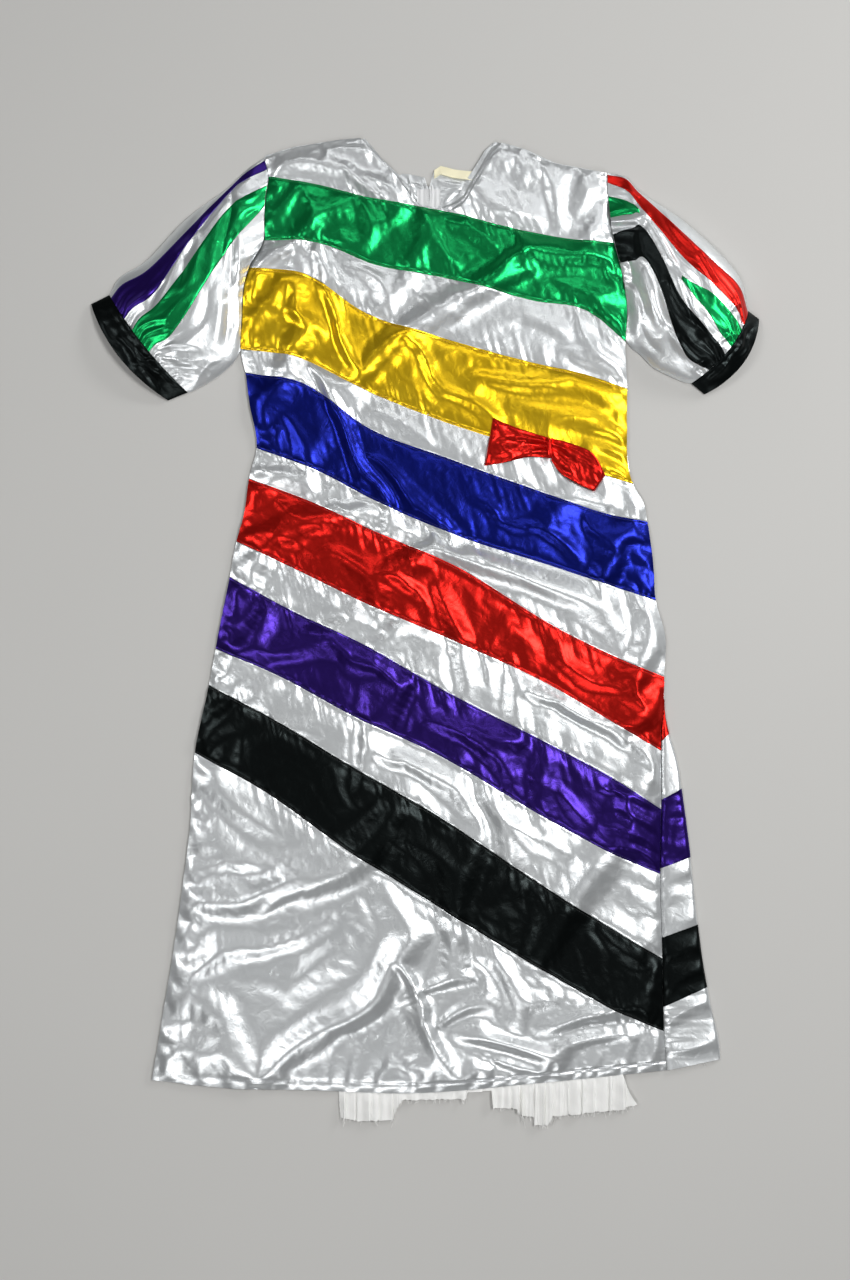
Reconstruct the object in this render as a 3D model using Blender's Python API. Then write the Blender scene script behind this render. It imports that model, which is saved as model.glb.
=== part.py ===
"""A girl's creole costume dress of satin, lying flat on its back with its front up.

Sizes are in millimetres until a mesh is made. X runs to the wearer's left, Y from hem to
shoulders, and Z up from the surface that the dress lies on. Each piece is a thin closed wall
between an outer and an inner grid of points, and what lies on a panel starts from its points.
"""
import bmesh
import bpy
import numpy as np

MM = 0.001
MIDDLE = (-1.0, 0.4, 0.0)     # middle of the outline in the tables below, which becomes the origin

# Driving dimensions
CLOTH = 1.5           # wall of the main panels
BAND_WALL = 1.0       # wall of the bands and trims that lie on them
SEAM_GAP = 0.3        # clearance between pieces that touch
ZIP_TAPE = 1.0        # thickness of the zip's tape
ZIP_WIDTH = 26.0      # both tapes, side by side
ZIP_LENGTH = 420.0
CENTRE_BACK = 3.0     # X of the centre back seam
FACING_DEPTH = 10.0   # cream strip inside the back neck
FOLD_ROW_TOP = -103.0     # Y where the right back starts to turn over the edge
FOLD_ROW_FULL = -128.0    # Y where it lies on top at full thickness
ARMHOLE_GAP = 0.6     # clearance along the curved armhole seams
RUFFLE_TUCK = 22.0    # how far the frill runs up under the hem
RUFFLE_WALL = 1.0
RUFFLE_WAVE = 4.5     # height of the frill's gathers
BOW_WALL = 1.1

LAYER_TOP = CLOTH                      # top of the back panels
FRONT_LOW = LAYER_TOP + SEAM_GAP       # underside of the front at its edges
FRONT_HIGH = FRONT_LOW + ZIP_TAPE + SEAM_GAP    # underside over the zip and the frill
TURN_TOP = FRONT_LOW + CLOTH           # top of the back where it is turned over
EDGE_RISE = 26.0                       # distance in which the front rises between the two

# Colours (linear red, green, blue) and roughness of the satin
WHITE = (0.78, 0.79, 0.80)
GREEN = (0.0, 0.22, 0.045)
YELLOW = (0.62, 0.32, 0.0)
BLUE = (0.005, 0.012, 0.22)
RED = (0.48, 0.012, 0.006)
PURPLE = (0.035, 0.011, 0.17)
BLACK = (0.008, 0.011, 0.011)
CREAM = (0.80, 0.76, 0.62)
COTTON = (0.82, 0.82, 0.80)
SATIN_ROUGH = 0.32
COTTON_ROUGH = 0.85

# Side outlines: a row for each bend, from the hem up
SIDE_LEFT = (            # Y, X
    (-492, -301), (-427, -290.4), (-348, -277.2), (-269, -266.2), (-216, -259.6),
    (-132.6, -254), (-57, -238.3), (-17, -231), (61, -215.6), (99, -208.5), (127, -200.5),
    (170, -194.2), (204, -186), (252, -194), (283, -198), (310, -203.5), (335, -202.4),
    (401, -193.6), (430, -178), (452, -177.4), (479, -175.8), (503, -173), (521, -177.7),
)
SIDE_RIGHT = (           # Y, X of the outline, which is the fold of the back below the hip
    (-469, 323), (-449, 321.2), (-416, 313.8), (-371, 304.7), (-314, 297.2), (-244, 289.6),
    (-187, 282.2), (-145, 276), (-114.6, 267.3), (-97, 263), (-49, 261.8), (-5, 262.9),
    (36, 252.3), (74, 249.7), (122, 243.1), (139, 240), (164, 227), (229, 220.7),
    (268, 221), (321, 219), (351, 220.7), (405, 212.3), (431, 205.7), (456, 201.6),
    (480, 199.4), (505, 198.6),
)
SEAM_RIGHT = (           # Y, X of the side seam where it lies on top
    (-484, 265), (-440.6, 261.8), (-347, 259.6), (-265.7, 257.4), (-196.4, 258.6),
    (-130.4, 258.6), (-103, 258.8),
)
ARMHOLE_LEFT = (309.7, 520.9)     # Y of underarm and shoulder tip
ARMHOLE_RIGHT = (320.7, 504.9)

# Slanting lines across the front: Y of each line at seven places from left to right
LINE_AT = (0.0, 0.15, 0.30, 0.50, 0.75, 0.90, 1.0)
FRONT_LINES = (          # name, Y at each place, rows of cloth up to the next line
    ("hem", (-492, -501, -503, -506.5, -495.5, -487, -481), 7),
    ("black_low", (-132.6, -175.5, -230.5, -295.5, -374, -416.5, -438.5), 3),
    ("black_up", (-57.8, -97.4, -142.5, -199.7, -282, -328.4, -358), 2),
    ("purple_low", (-18.2, -50, -89.7, -134.8, -206.3, -244.8, -265.7), 3),
    ("purple_up", (61, 22.5, -10.5, -64.4, -124.9, -163.4, -194.2), 2),
    ("red_low", (99.6, 66.6, 32.5, -7.2, -61.1, -102.9, -130.4), 3),
    ("red_up", (168.9, 143.6, 111.6, 72.1, 2.8, -30.3, -49), 2),
    ("blue_low", (201.9, 177.7, 143.6, 106.2, 71, 49, 34.7), 3),
    ("blue_up", (285.5, 272.3, 226.1, 192, 152.4, 130.4, 121.6), 2),
    ("yellow_low", (310.8, 300.9, 269, 233.8, 198.6, 175.5, 162.3), 3),
    ("yellow_up", (401, 393.3, 352.6, 325.1, 296.5, 282.2, 267.9), 2),
    ("green_low", (430.7, 427.4, 404.3, 388.9, 363.6, 351.5, 319.6), 3),
    ("green_up", (501, 491.2, 476.9, 463.7, 440.6, 430.7, 428.5), 4),
)
BACK_LINES = (           # name, Y at the left side, at the centre back and at the right edge
    ("hem", (-489, -500, -470), 4),
    ("black_low", (-132.6, -275, -390), 1),
    ("black_up", (-57.8, -190, -321), 1),
    ("purple_low", (-18.2, -125, -247), 1),
    ("purple_up", (61, -45, -172), 1),
    ("red_low", (99.6, 0, -112), 3),
    ("red_up", (168.9, 78, -49), 1),
    ("blue_low", (201.9, 112, 34.7), 1),
    ("blue_up", (285.5, 196, 121.6), 1),
    ("yellow_low", (310.8, 236, 162.3), 1),
    ("yellow_up", (401, 325, 267.9), 1),
    ("green_low", (430.7, 386, 319.6), 1),
    ("green_up", (501, 462, 428.5), 4),
)
TURN_LINES = (           # name, Y at the seam and at the fold, where the back lies on top
    ("hem", -481.3, -469.0), ("black_low", -411.7, -390.0), ("black_up", -335.4, -321.2),
    ("purple_low", -259.4, -247.3), ("purple_up", -183.9, -171.9), ("red_low", -120.0, -112.0),
)
FRONT_TOP = (            # X, Y along shoulder, neckline and shoulder
    (-180, 521), (-138.6, 533.6), (-90, 541), (-67.1, 542.9), (-50.6, 525.6),
    (-35.2, 511.7), (-13.8, 482.7), (-3, 470.8), (10.7, 467.5), (26, 471), (42, 481),
    (52, 499), (60, 511), (71.5, 529.7), (82.2, 538.9), (110, 531), (141.9, 516), (199, 505),
)
BACK_TOP = (             # X, Y along shoulder, back neck and shoulder
    (-180, 521), (-138.6, 533.6), (-90, 541), (-67.1, 542.9), (-48, 520), (-28.6, 502),
    (-18, 503.6), (-1.2, 499), (2.4, 491), (3.6, 491), (9, 508), (16.3, 512.8), (31, 508.8),
    (57, 505.8), (68, 516), (82.2, 538.9), (110, 531), (141.9, 516), (199, 505),
)
FRONT_COLUMNS = ((0.0, 0.294, 8), (0.294, 0.5, 6), (0.5, 0.691, 6), (0.691, 1.0, 8))

# Largest folds of the front: ends, half width and height
FRONT_FOLDS = (          # name, X and Y of one end, X and Y of the other, half width, height
    ("shoulder_left_pull", (-138, 505), (-112, 376), 16, 2.6),
    ("chest_left_drag", (-80, 480), (-52, 408), 14, 2.2),
    ("chest_star", (60, 432), (140, 395), 16, 2.4),
    ("yoke_right_swell", (120, 500), (160, 455), 26, 2.6),
    ("under_green", (-118, 372), (-70, 300), 14, 2.2),
    ("bust_crease_a", (-114, 381), (-60, 270), 13, 3.0),
    ("bust_crease_b", (-18, 320), (76, 232), 13, 3.0),
    ("yellow_right", (75, 282), (165, 262), 18, 2.2),
    ("blue_crease_a", (-97, 238), (-40, 140), 13, 3.0),
    ("blue_crease_b", (-66, 194), (32, 106), 13, 2.6),
    ("blue_crease_c", (60, 145), (170, 78), 15, 2.6),
    ("red_left", (-177, 112), (-110, 72), 16, 2.0),
    ("red_middle", (-30, 65), (70, -15), 18, 2.6),
    ("purple_middle", (20, -92), (85, -140), 16, 2.2),
    ("purple_seam", (185, -150), (245, -235), 15, 2.6),
    ("hip_drag", (120, -40), (215, -78), 16, 2.2),
    ("black_middle", (60, -255), (150, -318), 20, 2.2),
    ("skirt_sweep_a", (-230, -295), (-110, -250), 20, 2.6),
    ("skirt_sweep_b", (-182, -318), (-80, -262), 16, 2.4),
    ("skirt_sweep_c", (-268, -372), (-100, -330), 20, 2.6),
    ("skirt_sweep_d", (-180, -480), (-42, -392), 24, 3.2),
    ("crinkle_stem", (-25, -395), (18, -470), 14, 2.6),
    ("crinkle_branch", (-18, -415), (60, -398), 12, 2.4),
    ("hem_ripple_a", (55, -448), (150, -478), 15, 2.4),
    ("hem_ripple_b", (120, -420), (225, -440), 16, 2.2),
)

# Sleeves: a row for each section, from the armhole to the cuff
LEFT_SLEEVE = (          # upper end, lower end, bow, height, purple and green from, to, crease
    ((-177.7, 520.9), (-203.5, 309.7), 0.0, 5.0, 0.012, 0.06, 0.14, 0.25, 0.568),
    ((-198.0, 507.0), (-209.0, 300.0), 4.0, 13.0, 0.012, 0.05, 0.14, 0.33, 0.60),
    ((-216.7, 489.0), (-216.7, 291.0), 7.0, 19.0, 0.012, 0.05, 0.15, 0.41, 0.64),
    ((-264.0, 453.8), (-231.0, 279.0), 8.0, 23.0, 0.09, 0.14, 0.30, 0.54, 0.75),
    ((-306.9, 408.7), (-246.4, 270.0), 8.0, 21.0, 0.05, 0.25, 0.34, 0.59, 0.80),
    ((-336.0, 390.0), (-256.0, 265.0), 6.0, 17.0, 0.04, 0.25, 0.35, 0.58, 0.80),
    ((-347.8, 370.7), (-261.8, 263.5), 5.0, 15.5, 0.03, 0.24, 0.35, 0.57, 0.79),
)
RIGHT_SLEEVE = (         # ends, bow, height, red, green and black from, to, crease
    ((198.6, 504.9), (218.9, 320.7), 0.0, 5.0, 0.012, 0.06, 0.14, 0.27, 0.37, 0.54, 0.835),
    ((219.3, 500.0), (226.0, 312.0), 4.0, 15.0, 0.012, 0.09, 0.15, 0.23, 0.31, 0.50, 0.80),
    ((235.4, 483.5), (235.4, 305.3), 6.0, 22.0, 0.015, 0.125, 0.16, 0.18, 0.25, 0.45, 0.75),
    ((279.4, 454.9), (249.7, 291.0), 8.0, 30.0, 0.075, 0.265, 0.385, 0.41, 0.50, 0.695, 0.86),
    ((317.9, 421.3), (268.4, 281.1), 9.0, 32.0, 0.095, 0.28, 0.355, 0.495, 0.577, 0.807, 0.91),
    ((344.6, 389.4), (283.0, 275.0), 9.0, 29.0, 0.06, 0.20, 0.28, 0.44, 0.55, 0.77, 0.89),
    ((354.0, 353.3), (291.3, 273.4), 9.0, 25.0, 0.04, 0.13, 0.20, 0.40, 0.53, 0.75, 0.88),
)
LEFT_STEPS = (1, 2, 2, 3, 2, 3)        # cloth columns between those edges, from the top
RIGHT_STEPS = (1, 2, 1, 2, 1, 2, 2, 2)
SLEEVE_FOLDS = (         # name, place across at the armhole, at the cuff, half width, height
    ("head_fold", 0.30, 0.22, 0.07, 2.2),
    ("middle_fold", 0.55, 0.48, 0.08, 2.6),
    ("under_fold", 0.80, 0.72, 0.07, 2.0),
)
LEFT_CUFF = ((-368.0, 360.6), (-283.4, 254.7), 18.0, 13.0)     # mouth ends, bow, height
RIGHT_CUFF = ((366.0, 344.1), (306.0, 261.4), 14.0, 14.0)
SLEEVE_EDGE = 3.4     # height of a sleeve at its folded edges
EDGE_INSET = 2.5      # solid depth of such an edge
CUFF_GATHERS = 9
CUFF_GATHER_DEPTH = 1.2

# Frill under the hem: a row for each step of its torn edge
RUFFLE_EDGE = (          # X at the tuck, X and Y at the edge
    (-96, -96, -508), (-95, -94.6, -533), (-75, -75, -537), (-36, -36, -536),
    (-30, -27, -514), (8, 8, -513.5), (45, 45.9, -512.7), (48, 48, -500),
    (70, 72, -500), (74, 73.7, -523), (101, 101, -523), (104, 104, -532), (116, 116, -532),
    (121, 121, -541.4), (134, 134, -541.4), (137, 137, -532), (152, 152, -531),
    (176, 183, -527.5), (194, 213, -524.8), (205, 231, -518.7),
)
PLEATS = (-96, -84, -72, -61, -53, -42, -36, -24, -10, 8, 24, 38, 50, 66, 75, 88, 101, 110,
          118, 127, 136, 146, 158, 170, 183, 196, 207, 219, 231)     # X of each gather

# Bow at the waist: corners of each loop at its wide end and at the knot
BOW_LOOPS = (            # name, wide end upper and lower, knot upper and lower, side bulge
    ("bow_left", (73.0, 235.0), (64.1, 182.7), (131.2, 211.5), (131.2, 192.5), 1.5),
    ("bow_right", (196.0, 178.0), (178.0, 154.0), (141.2, 211.0), (138.6, 190.0), 8.0),
)
BOW_KNOT = (131.6, 138.2, 190.0, 212.5)      # low and high X, low and high Y
BOW_KNOT_HEIGHT = 8.5
BOW_LOOP_HEIGHT = 5.4
BOW_PLEATS = 3


def read_row(table, value, column=1):
    """The table's column at a value of its first column, in a straight line between rows."""
    rows = sorted(table)
    return float(np.interp(value, [row[0] for row in rows], [row[column] for row in rows]))


def smooth_line(places, heights, place):
    """A soft curve through heights at the given places."""
    places = np.asarray(places, float)
    heights = np.asarray(heights, float)
    slopes = np.gradient(heights, places)
    i = int(np.clip(np.searchsorted(places, place) - 1, 0, len(places) - 2))
    step = places[i + 1] - places[i]
    t = (place - places[i]) / step
    start = (2 * t**3 - 3 * t**2 + 1) * heights[i] + (t**3 - 2 * t**2 + t) * step * slopes[i]
    end = (3 * t**2 - 2 * t**3) * heights[i + 1] + (t**3 - t**2) * step * slopes[i + 1]
    return float(start + end)


def soft_step(value, low, high):
    """0 below low and 1 above high, with a soft rise between."""
    t = min(max((value - low) / (high - low), 0.0), 1.0)
    return t * t * (3 - 2 * t)


def fold_height(x, y):
    """How far the folds lift the front at a point."""
    total = 0.0
    here = np.array((x, y))
    for name, start, end, half_width, height in FRONT_FOLDS:
        start = np.array(start, float)
        along = np.array(end, float) - start
        t = float(np.clip(np.dot(here - start, along) / np.dot(along, along), 0, 1))
        away = float(np.linalg.norm(here - start - t * along))
        total += height * np.exp(-(away / half_width) ** 2)
    return total


def front_edge_right(y):
    """X of the front's right edge: the outline, or the side seam where the back lies on top."""
    if y > FOLD_ROW_TOP + 12:
        return read_row(SIDE_RIGHT, y)
    return read_row(SEAM_RIGHT, y) - SEAM_GAP


def front_surface(x, y):
    """Z of the front's upper side."""
    inside = min(x - read_row(SIDE_LEFT, y), front_edge_right(y) - x)
    rise = soft_step(inside, 0, EDGE_RISE)
    return FRONT_LOW + CLOTH + rise * (FRONT_HIGH - FRONT_LOW + fold_height(x, y))


def spread(stretches):
    """Fractions from 0 to 1, with the given count of steps in each stretch."""
    values = [stretches[0][0]]
    for start, end, steps in stretches:
        values += [start + (end - start) * (k + 1) / steps for k in range(steps)]
    return values


def closed_wall(outer, inner, ring=False):
    """Vertices and triangles of the closed wall between two like grids of points."""
    outer = np.asarray(outer, float)
    inner = np.asarray(inner, float)
    rows, columns = outer.shape[:2]
    across = columns if ring else columns - 1
    points = np.concatenate([outer.reshape(-1, 3), inner.reshape(-1, 3)])
    shift = rows * columns

    def corner(i, j, side):
        return side * shift + i * columns + j % columns

    faces = []
    for i in range(rows - 1):
        for j in range(across):
            a, b = corner(i, j, 0), corner(i, j + 1, 0)
            c, d = corner(i + 1, j + 1, 0), corner(i + 1, j, 0)
            faces += [(a, b, c), (a, c, d)]
            faces += [(a + shift, c + shift, b + shift), (a + shift, d + shift, c + shift)]
    rims = []
    for j in range(across):
        rims.append((corner(0, j, 0), corner(0, j + 1, 0)))
        rims.append((corner(rows - 1, j + 1, 0), corner(rows - 1, j, 0)))
    if not ring:
        for i in range(rows - 1):
            rims.append((corner(i + 1, 0, 0), corner(i, 0, 0)))
            rims.append((corner(i, columns - 1, 0), corner(i + 1, columns - 1, 0)))
    for a, b in rims:
        faces += [(a, a + shift, b + shift), (a, b + shift, b)]
    return points, faces


def add_piece(name, points, faces, colour, roughness=SATIN_ROUGH):
    """One named object with its own material, from points in millimetres."""
    mesh = bpy.data.meshes.new(name)
    placed = (np.asarray(points, float) - MIDDLE) * MM
    mesh.from_pydata([tuple(p) for p in placed], [], faces)
    shell = bmesh.new()
    shell.from_mesh(mesh)
    bmesh.ops.recalc_face_normals(shell, faces=shell.faces)
    shell.to_mesh(mesh)
    shell.free()
    material = bpy.data.materials.new(name + "_satin")
    material.use_nodes = True
    shader = material.node_tree.nodes["Principled BSDF"]
    shader.inputs["Base Color"].default_value = (*colour, 1.0)
    shader.inputs["Roughness"].default_value = roughness
    shader.inputs["Metallic"].default_value = 0.0
    mesh.materials.append(material)
    mesh.shade_smooth()
    mesh.set_sharp_from_angle(angle=np.radians(50))
    piece = bpy.data.objects.new(name, mesh)
    bpy.context.scene.collection.objects.link(piece)
    return piece


def grid_normals(grid):
    """Upward unit normals of a grid of points."""
    along = np.gradient(grid, axis=0)
    across = np.gradient(grid, axis=1)
    normals = np.cross(across, along)
    normals /= np.linalg.norm(normals, axis=2, keepdims=True)
    return np.where(normals[..., 2:] < 0, -normals, normals)


def lay_on(grid, run=1, gap=SEAM_GAP, wall=BAND_WALL):
    """Outer and inner grids of a strip that lies on the points and runs along their axis run."""
    normals = grid_normals(grid)
    along = np.gradient(grid, axis=run) * (1, 1, 0)
    along /= np.linalg.norm(along, axis=2, keepdims=True)
    square = normals - along * np.sum(normals * along, axis=2, keepdims=True)
    square /= np.linalg.norm(square, axis=2, keepdims=True)
    ends = [0, -1]
    if run == 1:
        normals[:, ends] = square[:, ends]
    else:
        normals[ends] = square[ends]
    return grid + normals * (gap + wall), grid + normals * gap


def front_grid():
    """Points of the front's upper side, and the row of each slanting line."""
    places = spread(FRONT_COLUMNS)
    curves = []
    rows_of = {}
    for k, (name, heights, steps) in enumerate(FRONT_LINES):
        rows_of[name] = len(curves)
        low = [smooth_line(LINE_AT, heights, u) for u in places]
        if k + 1 < len(FRONT_LINES):
            high = [smooth_line(LINE_AT, FRONT_LINES[k + 1][1], u) for u in places]
        else:
            high = None
        for step in range(steps):
            curves.append((low, high, step / steps))
    curves.append((low, high, 1.0))
    grid = []
    for low, high, part in curves:
        row = []
        for j, u in enumerate(places):
            top = high[j] if high else None
            if top is None:
                left, right = read_row(SIDE_LEFT, low[0]), front_edge_right(low[-1])
                x = left + u * (right - left)
                top = max(read_row(FRONT_TOP, x), low[j] + 3.5)
            y_left = low[0] + part * ((high[0] if high else ARMHOLE_LEFT[1]) - low[0])
            y_right = low[-1] + part * ((high[-1] if high else ARMHOLE_RIGHT[1]) - low[-1])
            left, right = read_row(SIDE_LEFT, y_left), front_edge_right(y_right)
            x = left + u * (right - left)
            y = low[j] + part * (top - low[j])
            row.append((x, y, front_surface(x, y)))
        grid.append(row)
    return np.array(grid), rows_of


def build_front():
    """The front panel and the six bands on it."""
    grid, rows_of = front_grid()
    under = grid - np.array((0, 0, CLOTH))
    add_piece("front", *closed_wall(grid, under), WHITE)
    colours = {"green": GREEN, "yellow": YELLOW, "blue": BLUE, "red": RED,
               "purple": PURPLE, "black": BLACK}
    for name, colour in colours.items():
        strip = grid[rows_of[name + "_low"]:rows_of[name + "_up"] + 1]
        add_piece("band_" + name, *closed_wall(*lay_on(strip)), colour)


def back_line(k, x):
    """Y of the back's line of that number at an X."""
    left, middle, right = BACK_LINES[k][1]
    places = (read_row(SIDE_LEFT, left), CENTRE_BACK, read_row(SIDE_RIGHT, right))
    return float(np.interp(x, places, (left, middle, right)))


def back_half(side, columns):
    """Plan points of one half of the back, hem to shoulder, by row and by column."""
    which = 0 if side == "left" else 2
    tip = ARMHOLE_LEFT[1] if side == "left" else ARMHOLE_RIGHT[1]
    ends = [heights[which] for name, heights, steps in BACK_LINES] + [tip]
    rows = []
    for k, (name, heights, steps) in enumerate(BACK_LINES):
        last = k + 1 == len(BACK_LINES)
        for step in range(steps + last):
            part = step / steps
            y_side = ends[k] + part * (ends[k + 1] - ends[k])
            if side == "left":
                x_from = read_row(SIDE_LEFT, y_side)
                x_to = CENTRE_BACK - SEAM_GAP / 2
            else:
                x_from = CENTRE_BACK + SEAM_GAP / 2
                x_to = read_row(SIDE_RIGHT, y_side)
            row = []
            for u in columns:
                x = x_from + u * (x_to - x_from)
                low = back_line(k, x)
                high = max(read_row(BACK_TOP, x), low + 3) if last else back_line(k + 1, x)
                row.append((x, low + part * (high - low)))
            rows.append(row)
    return np.array(rows)


def turn_line(y_fold):
    """Y at the seam of the turned part, from its Y at the fold."""
    folds = [row[2] for row in TURN_LINES]
    seams = [row[1] for row in TURN_LINES]
    return float(np.interp(y_fold, folds, seams))


def build_back():
    """The two halves of the back. The right one turns over its edge at the lower right."""
    columns = np.linspace(0, 1, 9)
    left = back_half("left", columns)
    outer = np.dstack([left, np.zeros(left.shape[:2])])
    inner = np.dstack([left, np.full(left.shape[:2], LAYER_TOP)])
    add_piece("back_left", *closed_wall(outer, inner), WHITE)

    flat = back_half("right", columns)
    under, above, turned = [], [], []
    for row in flat:
        x_fold, y_fold = row[-1]
        folded = 1 - soft_step(y_fold, FOLD_ROW_FULL, FOLD_ROW_TOP)
        y_seam = turn_line(y_fold) if folded > 0 else y_fold
        x_seam = x_fold - 4
        if y_fold < FOLD_ROW_TOP:
            x_seam = min(read_row(SEAM_RIGHT, y_seam), x_fold - 4)
        top = LAYER_TOP + folded * (TURN_TOP - LAYER_TOP)
        low_x = np.linspace(row[0][0], x_seam - 0.2, len(columns))
        high_x = np.linspace(row[0][0], x_seam + 0.5 * folded, len(columns))
        low = [(x, float(np.interp(x, row[:, 0], row[:, 1])), 0.0) for x in low_x]
        high = [(x, float(np.interp(x, row[:, 0], row[:, 1])), LAYER_TOP) for x in high_x]
        strip = []
        for t in (0.0, 0.33, 0.66, 0.93):
            x = x_seam + t * (x_fold - x_seam)
            y = y_seam + t * (y_fold - y_seam)
            low.append((x, float(np.interp(x, row[:, 0], row[:, 1])), 0.0))
            high.append((x, y, top))
            strip.append((x, y, top))
        low.append((x_fold - 0.6, y_fold, 0.0))
        high.append((x_fold, y_fold, top / 2))
        under.append(low)
        above.append(high)
        turned.append(strip)
    add_piece("back_right", *closed_wall(under, above), WHITE)
    build_turned_bands(np.array(turned), flat)


def build_turned_bands(turned, flat):
    """The ends of the back's bands, on the part of it that is turned over."""
    for name, colour in (("black", BLACK), ("purple", PURPLE)):
        low = next(row for row in TURN_LINES if row[0] == name + "_low")
        high = next(row for row in TURN_LINES if row[0] == name + "_up")
        rows = [i for i, row in enumerate(flat) if low[2] - 1 <= row[-1][1] <= high[2] + 1]
        first, last = turned[rows[0]], turned[rows[-1]]
        strip = np.array([first + (last - first) * t for t in np.linspace(0, 1, 5)])
        strip[:, :, 0] += np.linspace(SEAM_GAP, 0, strip.shape[1])
        add_piece("turn_" + name, *closed_wall(*lay_on(strip)), colour)


def build_zip():
    """Zip tape and its raised chain, on the inside of the centre back."""
    tops = ((-ZIP_WIDTH / 2, 6), (-7.0, 5), (-2.0, 2), (2.0, 2), (7.0, 4), (ZIP_WIDTH / 2, 6))
    low_z = LAYER_TOP + SEAM_GAP
    outer, inner = [], []
    for t in np.linspace(0, 1, 9):
        upper, lower = [], []
        for across, drop in tops:
            x = CENTRE_BACK + across
            y = 494.5 - drop - t * (ZIP_LENGTH - drop)
            chain = 0.25 if abs(across) < 3 else 0.0
            upper.append((x, y, low_z + ZIP_TAPE - 0.25 + chain))
            lower.append((x, y, low_z))
        outer.append(upper)
        inner.append(lower)
    add_piece("zip", *closed_wall(outer, inner), WHITE)


def build_facing():
    """Cream strip turned in along the back neck, on the right half."""
    columns = np.linspace(CENTRE_BACK + ZIP_WIDTH / 2 + SEAM_GAP, 62, 7)
    rows = []
    for drop in np.linspace(FACING_DEPTH, 0.5, 3):
        rows.append([(x, read_row(BACK_TOP, x) - drop, LAYER_TOP) for x in columns])
    add_piece("neck_facing", *closed_wall(*lay_on(np.array(rows))), CREAM, COTTON_ROUGH)


def section_values(table, s):
    """Values of a sleeve table at a fraction of the way from armhole to cuff."""
    places = np.linspace(0, 1, len(table))
    flat = np.array([np.hstack([np.ravel(item) for item in row]) for row in table])
    return [float(np.interp(s, places, flat[:, c])) for c in range(flat.shape[1])]


def armhole_point(side, outline, span, fraction):
    """A point of the armhole, just outside the body's edge."""
    y = span[1] + fraction * (span[0] - span[1])
    return read_row(outline, y) + side * ARMHOLE_GAP, y


def sleeve_sections(table, steps, side, outline, span, count=11):
    """Outer and inner rings of a sleeve, and its upper points by section and column."""
    outer, inner, upper = [], [], []
    for s in np.linspace(0, 1, count) ** 0.85:
        values = section_values(table, s)
        high_end, low_end = np.array(values[0:2]), np.array(values[2:4])
        bow, height = values[4], values[5]
        edges = [0.0] + values[6:] + [1.0]
        columns = spread([(edges[k], edges[k + 1], n) for k, n in enumerate(steps)])
        chord = low_end - high_end
        width = float(np.linalg.norm(chord))
        out = np.array((-chord[1], chord[0])) / width
        if out[0] * side < 0:
            out = -out
        keep = 1 - soft_step(s, 0, 0.3)

        def plan(f):
            straight = high_end + f * chord + out * bow * 4 * f * (1 - f)
            seam = np.array(armhole_point(side, outline, span, f))
            return straight + keep * (seam - plan_start(f))

        def plan_start(f):
            first = section_values(table, 0.0)
            a, b = np.array(first[0:2]), np.array(first[2:4])
            return a + f * (b - a)

        inset = 1.0 / width
        wall_inset = EDGE_INSET / width
        top, under_top, row = [], [], []
        for f in columns:
            g = inset + f * (1 - 2 * inset)
            dome = (4 * g * (1 - g)) ** 0.55
            z = SLEEVE_EDGE + (height - SLEEVE_EDGE) * dome
            swell = soft_step(s, 0.08, 0.35) * soft_step(1 - s, -0.2, 0.3) * dome
            for name, start, end, half_width, lift in SLEEVE_FOLDS:
                centre = start + s * (end - start)
                z += swell * lift * np.exp(-((f - centre) / half_width) ** 2)
            x, y = plan(g)
            top.append((x, y, z))
            row.append((x, y, z))
            x, y = plan(wall_inset + f * (1 - 2 * wall_inset))
            under_top.append((x, y, z - CLOTH))
        crease, band_end = edges[-2], edges[-3]
        flat_places = (1.0, (1 + crease) / 2, crease, band_end, band_end / 2, 0.0)
        bottom = [(*plan(inset + f * (1 - 2 * inset)), 0.0) for f in flat_places]
        under_bottom = [(*plan(wall_inset + f * (1 - 2 * wall_inset)), CLOTH)
                        for f in flat_places]
        mid = SLEEVE_EDGE / 2
        near = wall_inset * 0.88
        outer.append([(*plan(0), mid)] + top + [(*plan(1), mid)] + bottom)
        inner.append([(*plan(near), mid)] + under_top + [(*plan(1 - near), mid)] + under_bottom)
        upper.append(row)
    return np.array(outer), np.array(inner), np.array(upper)


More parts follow.
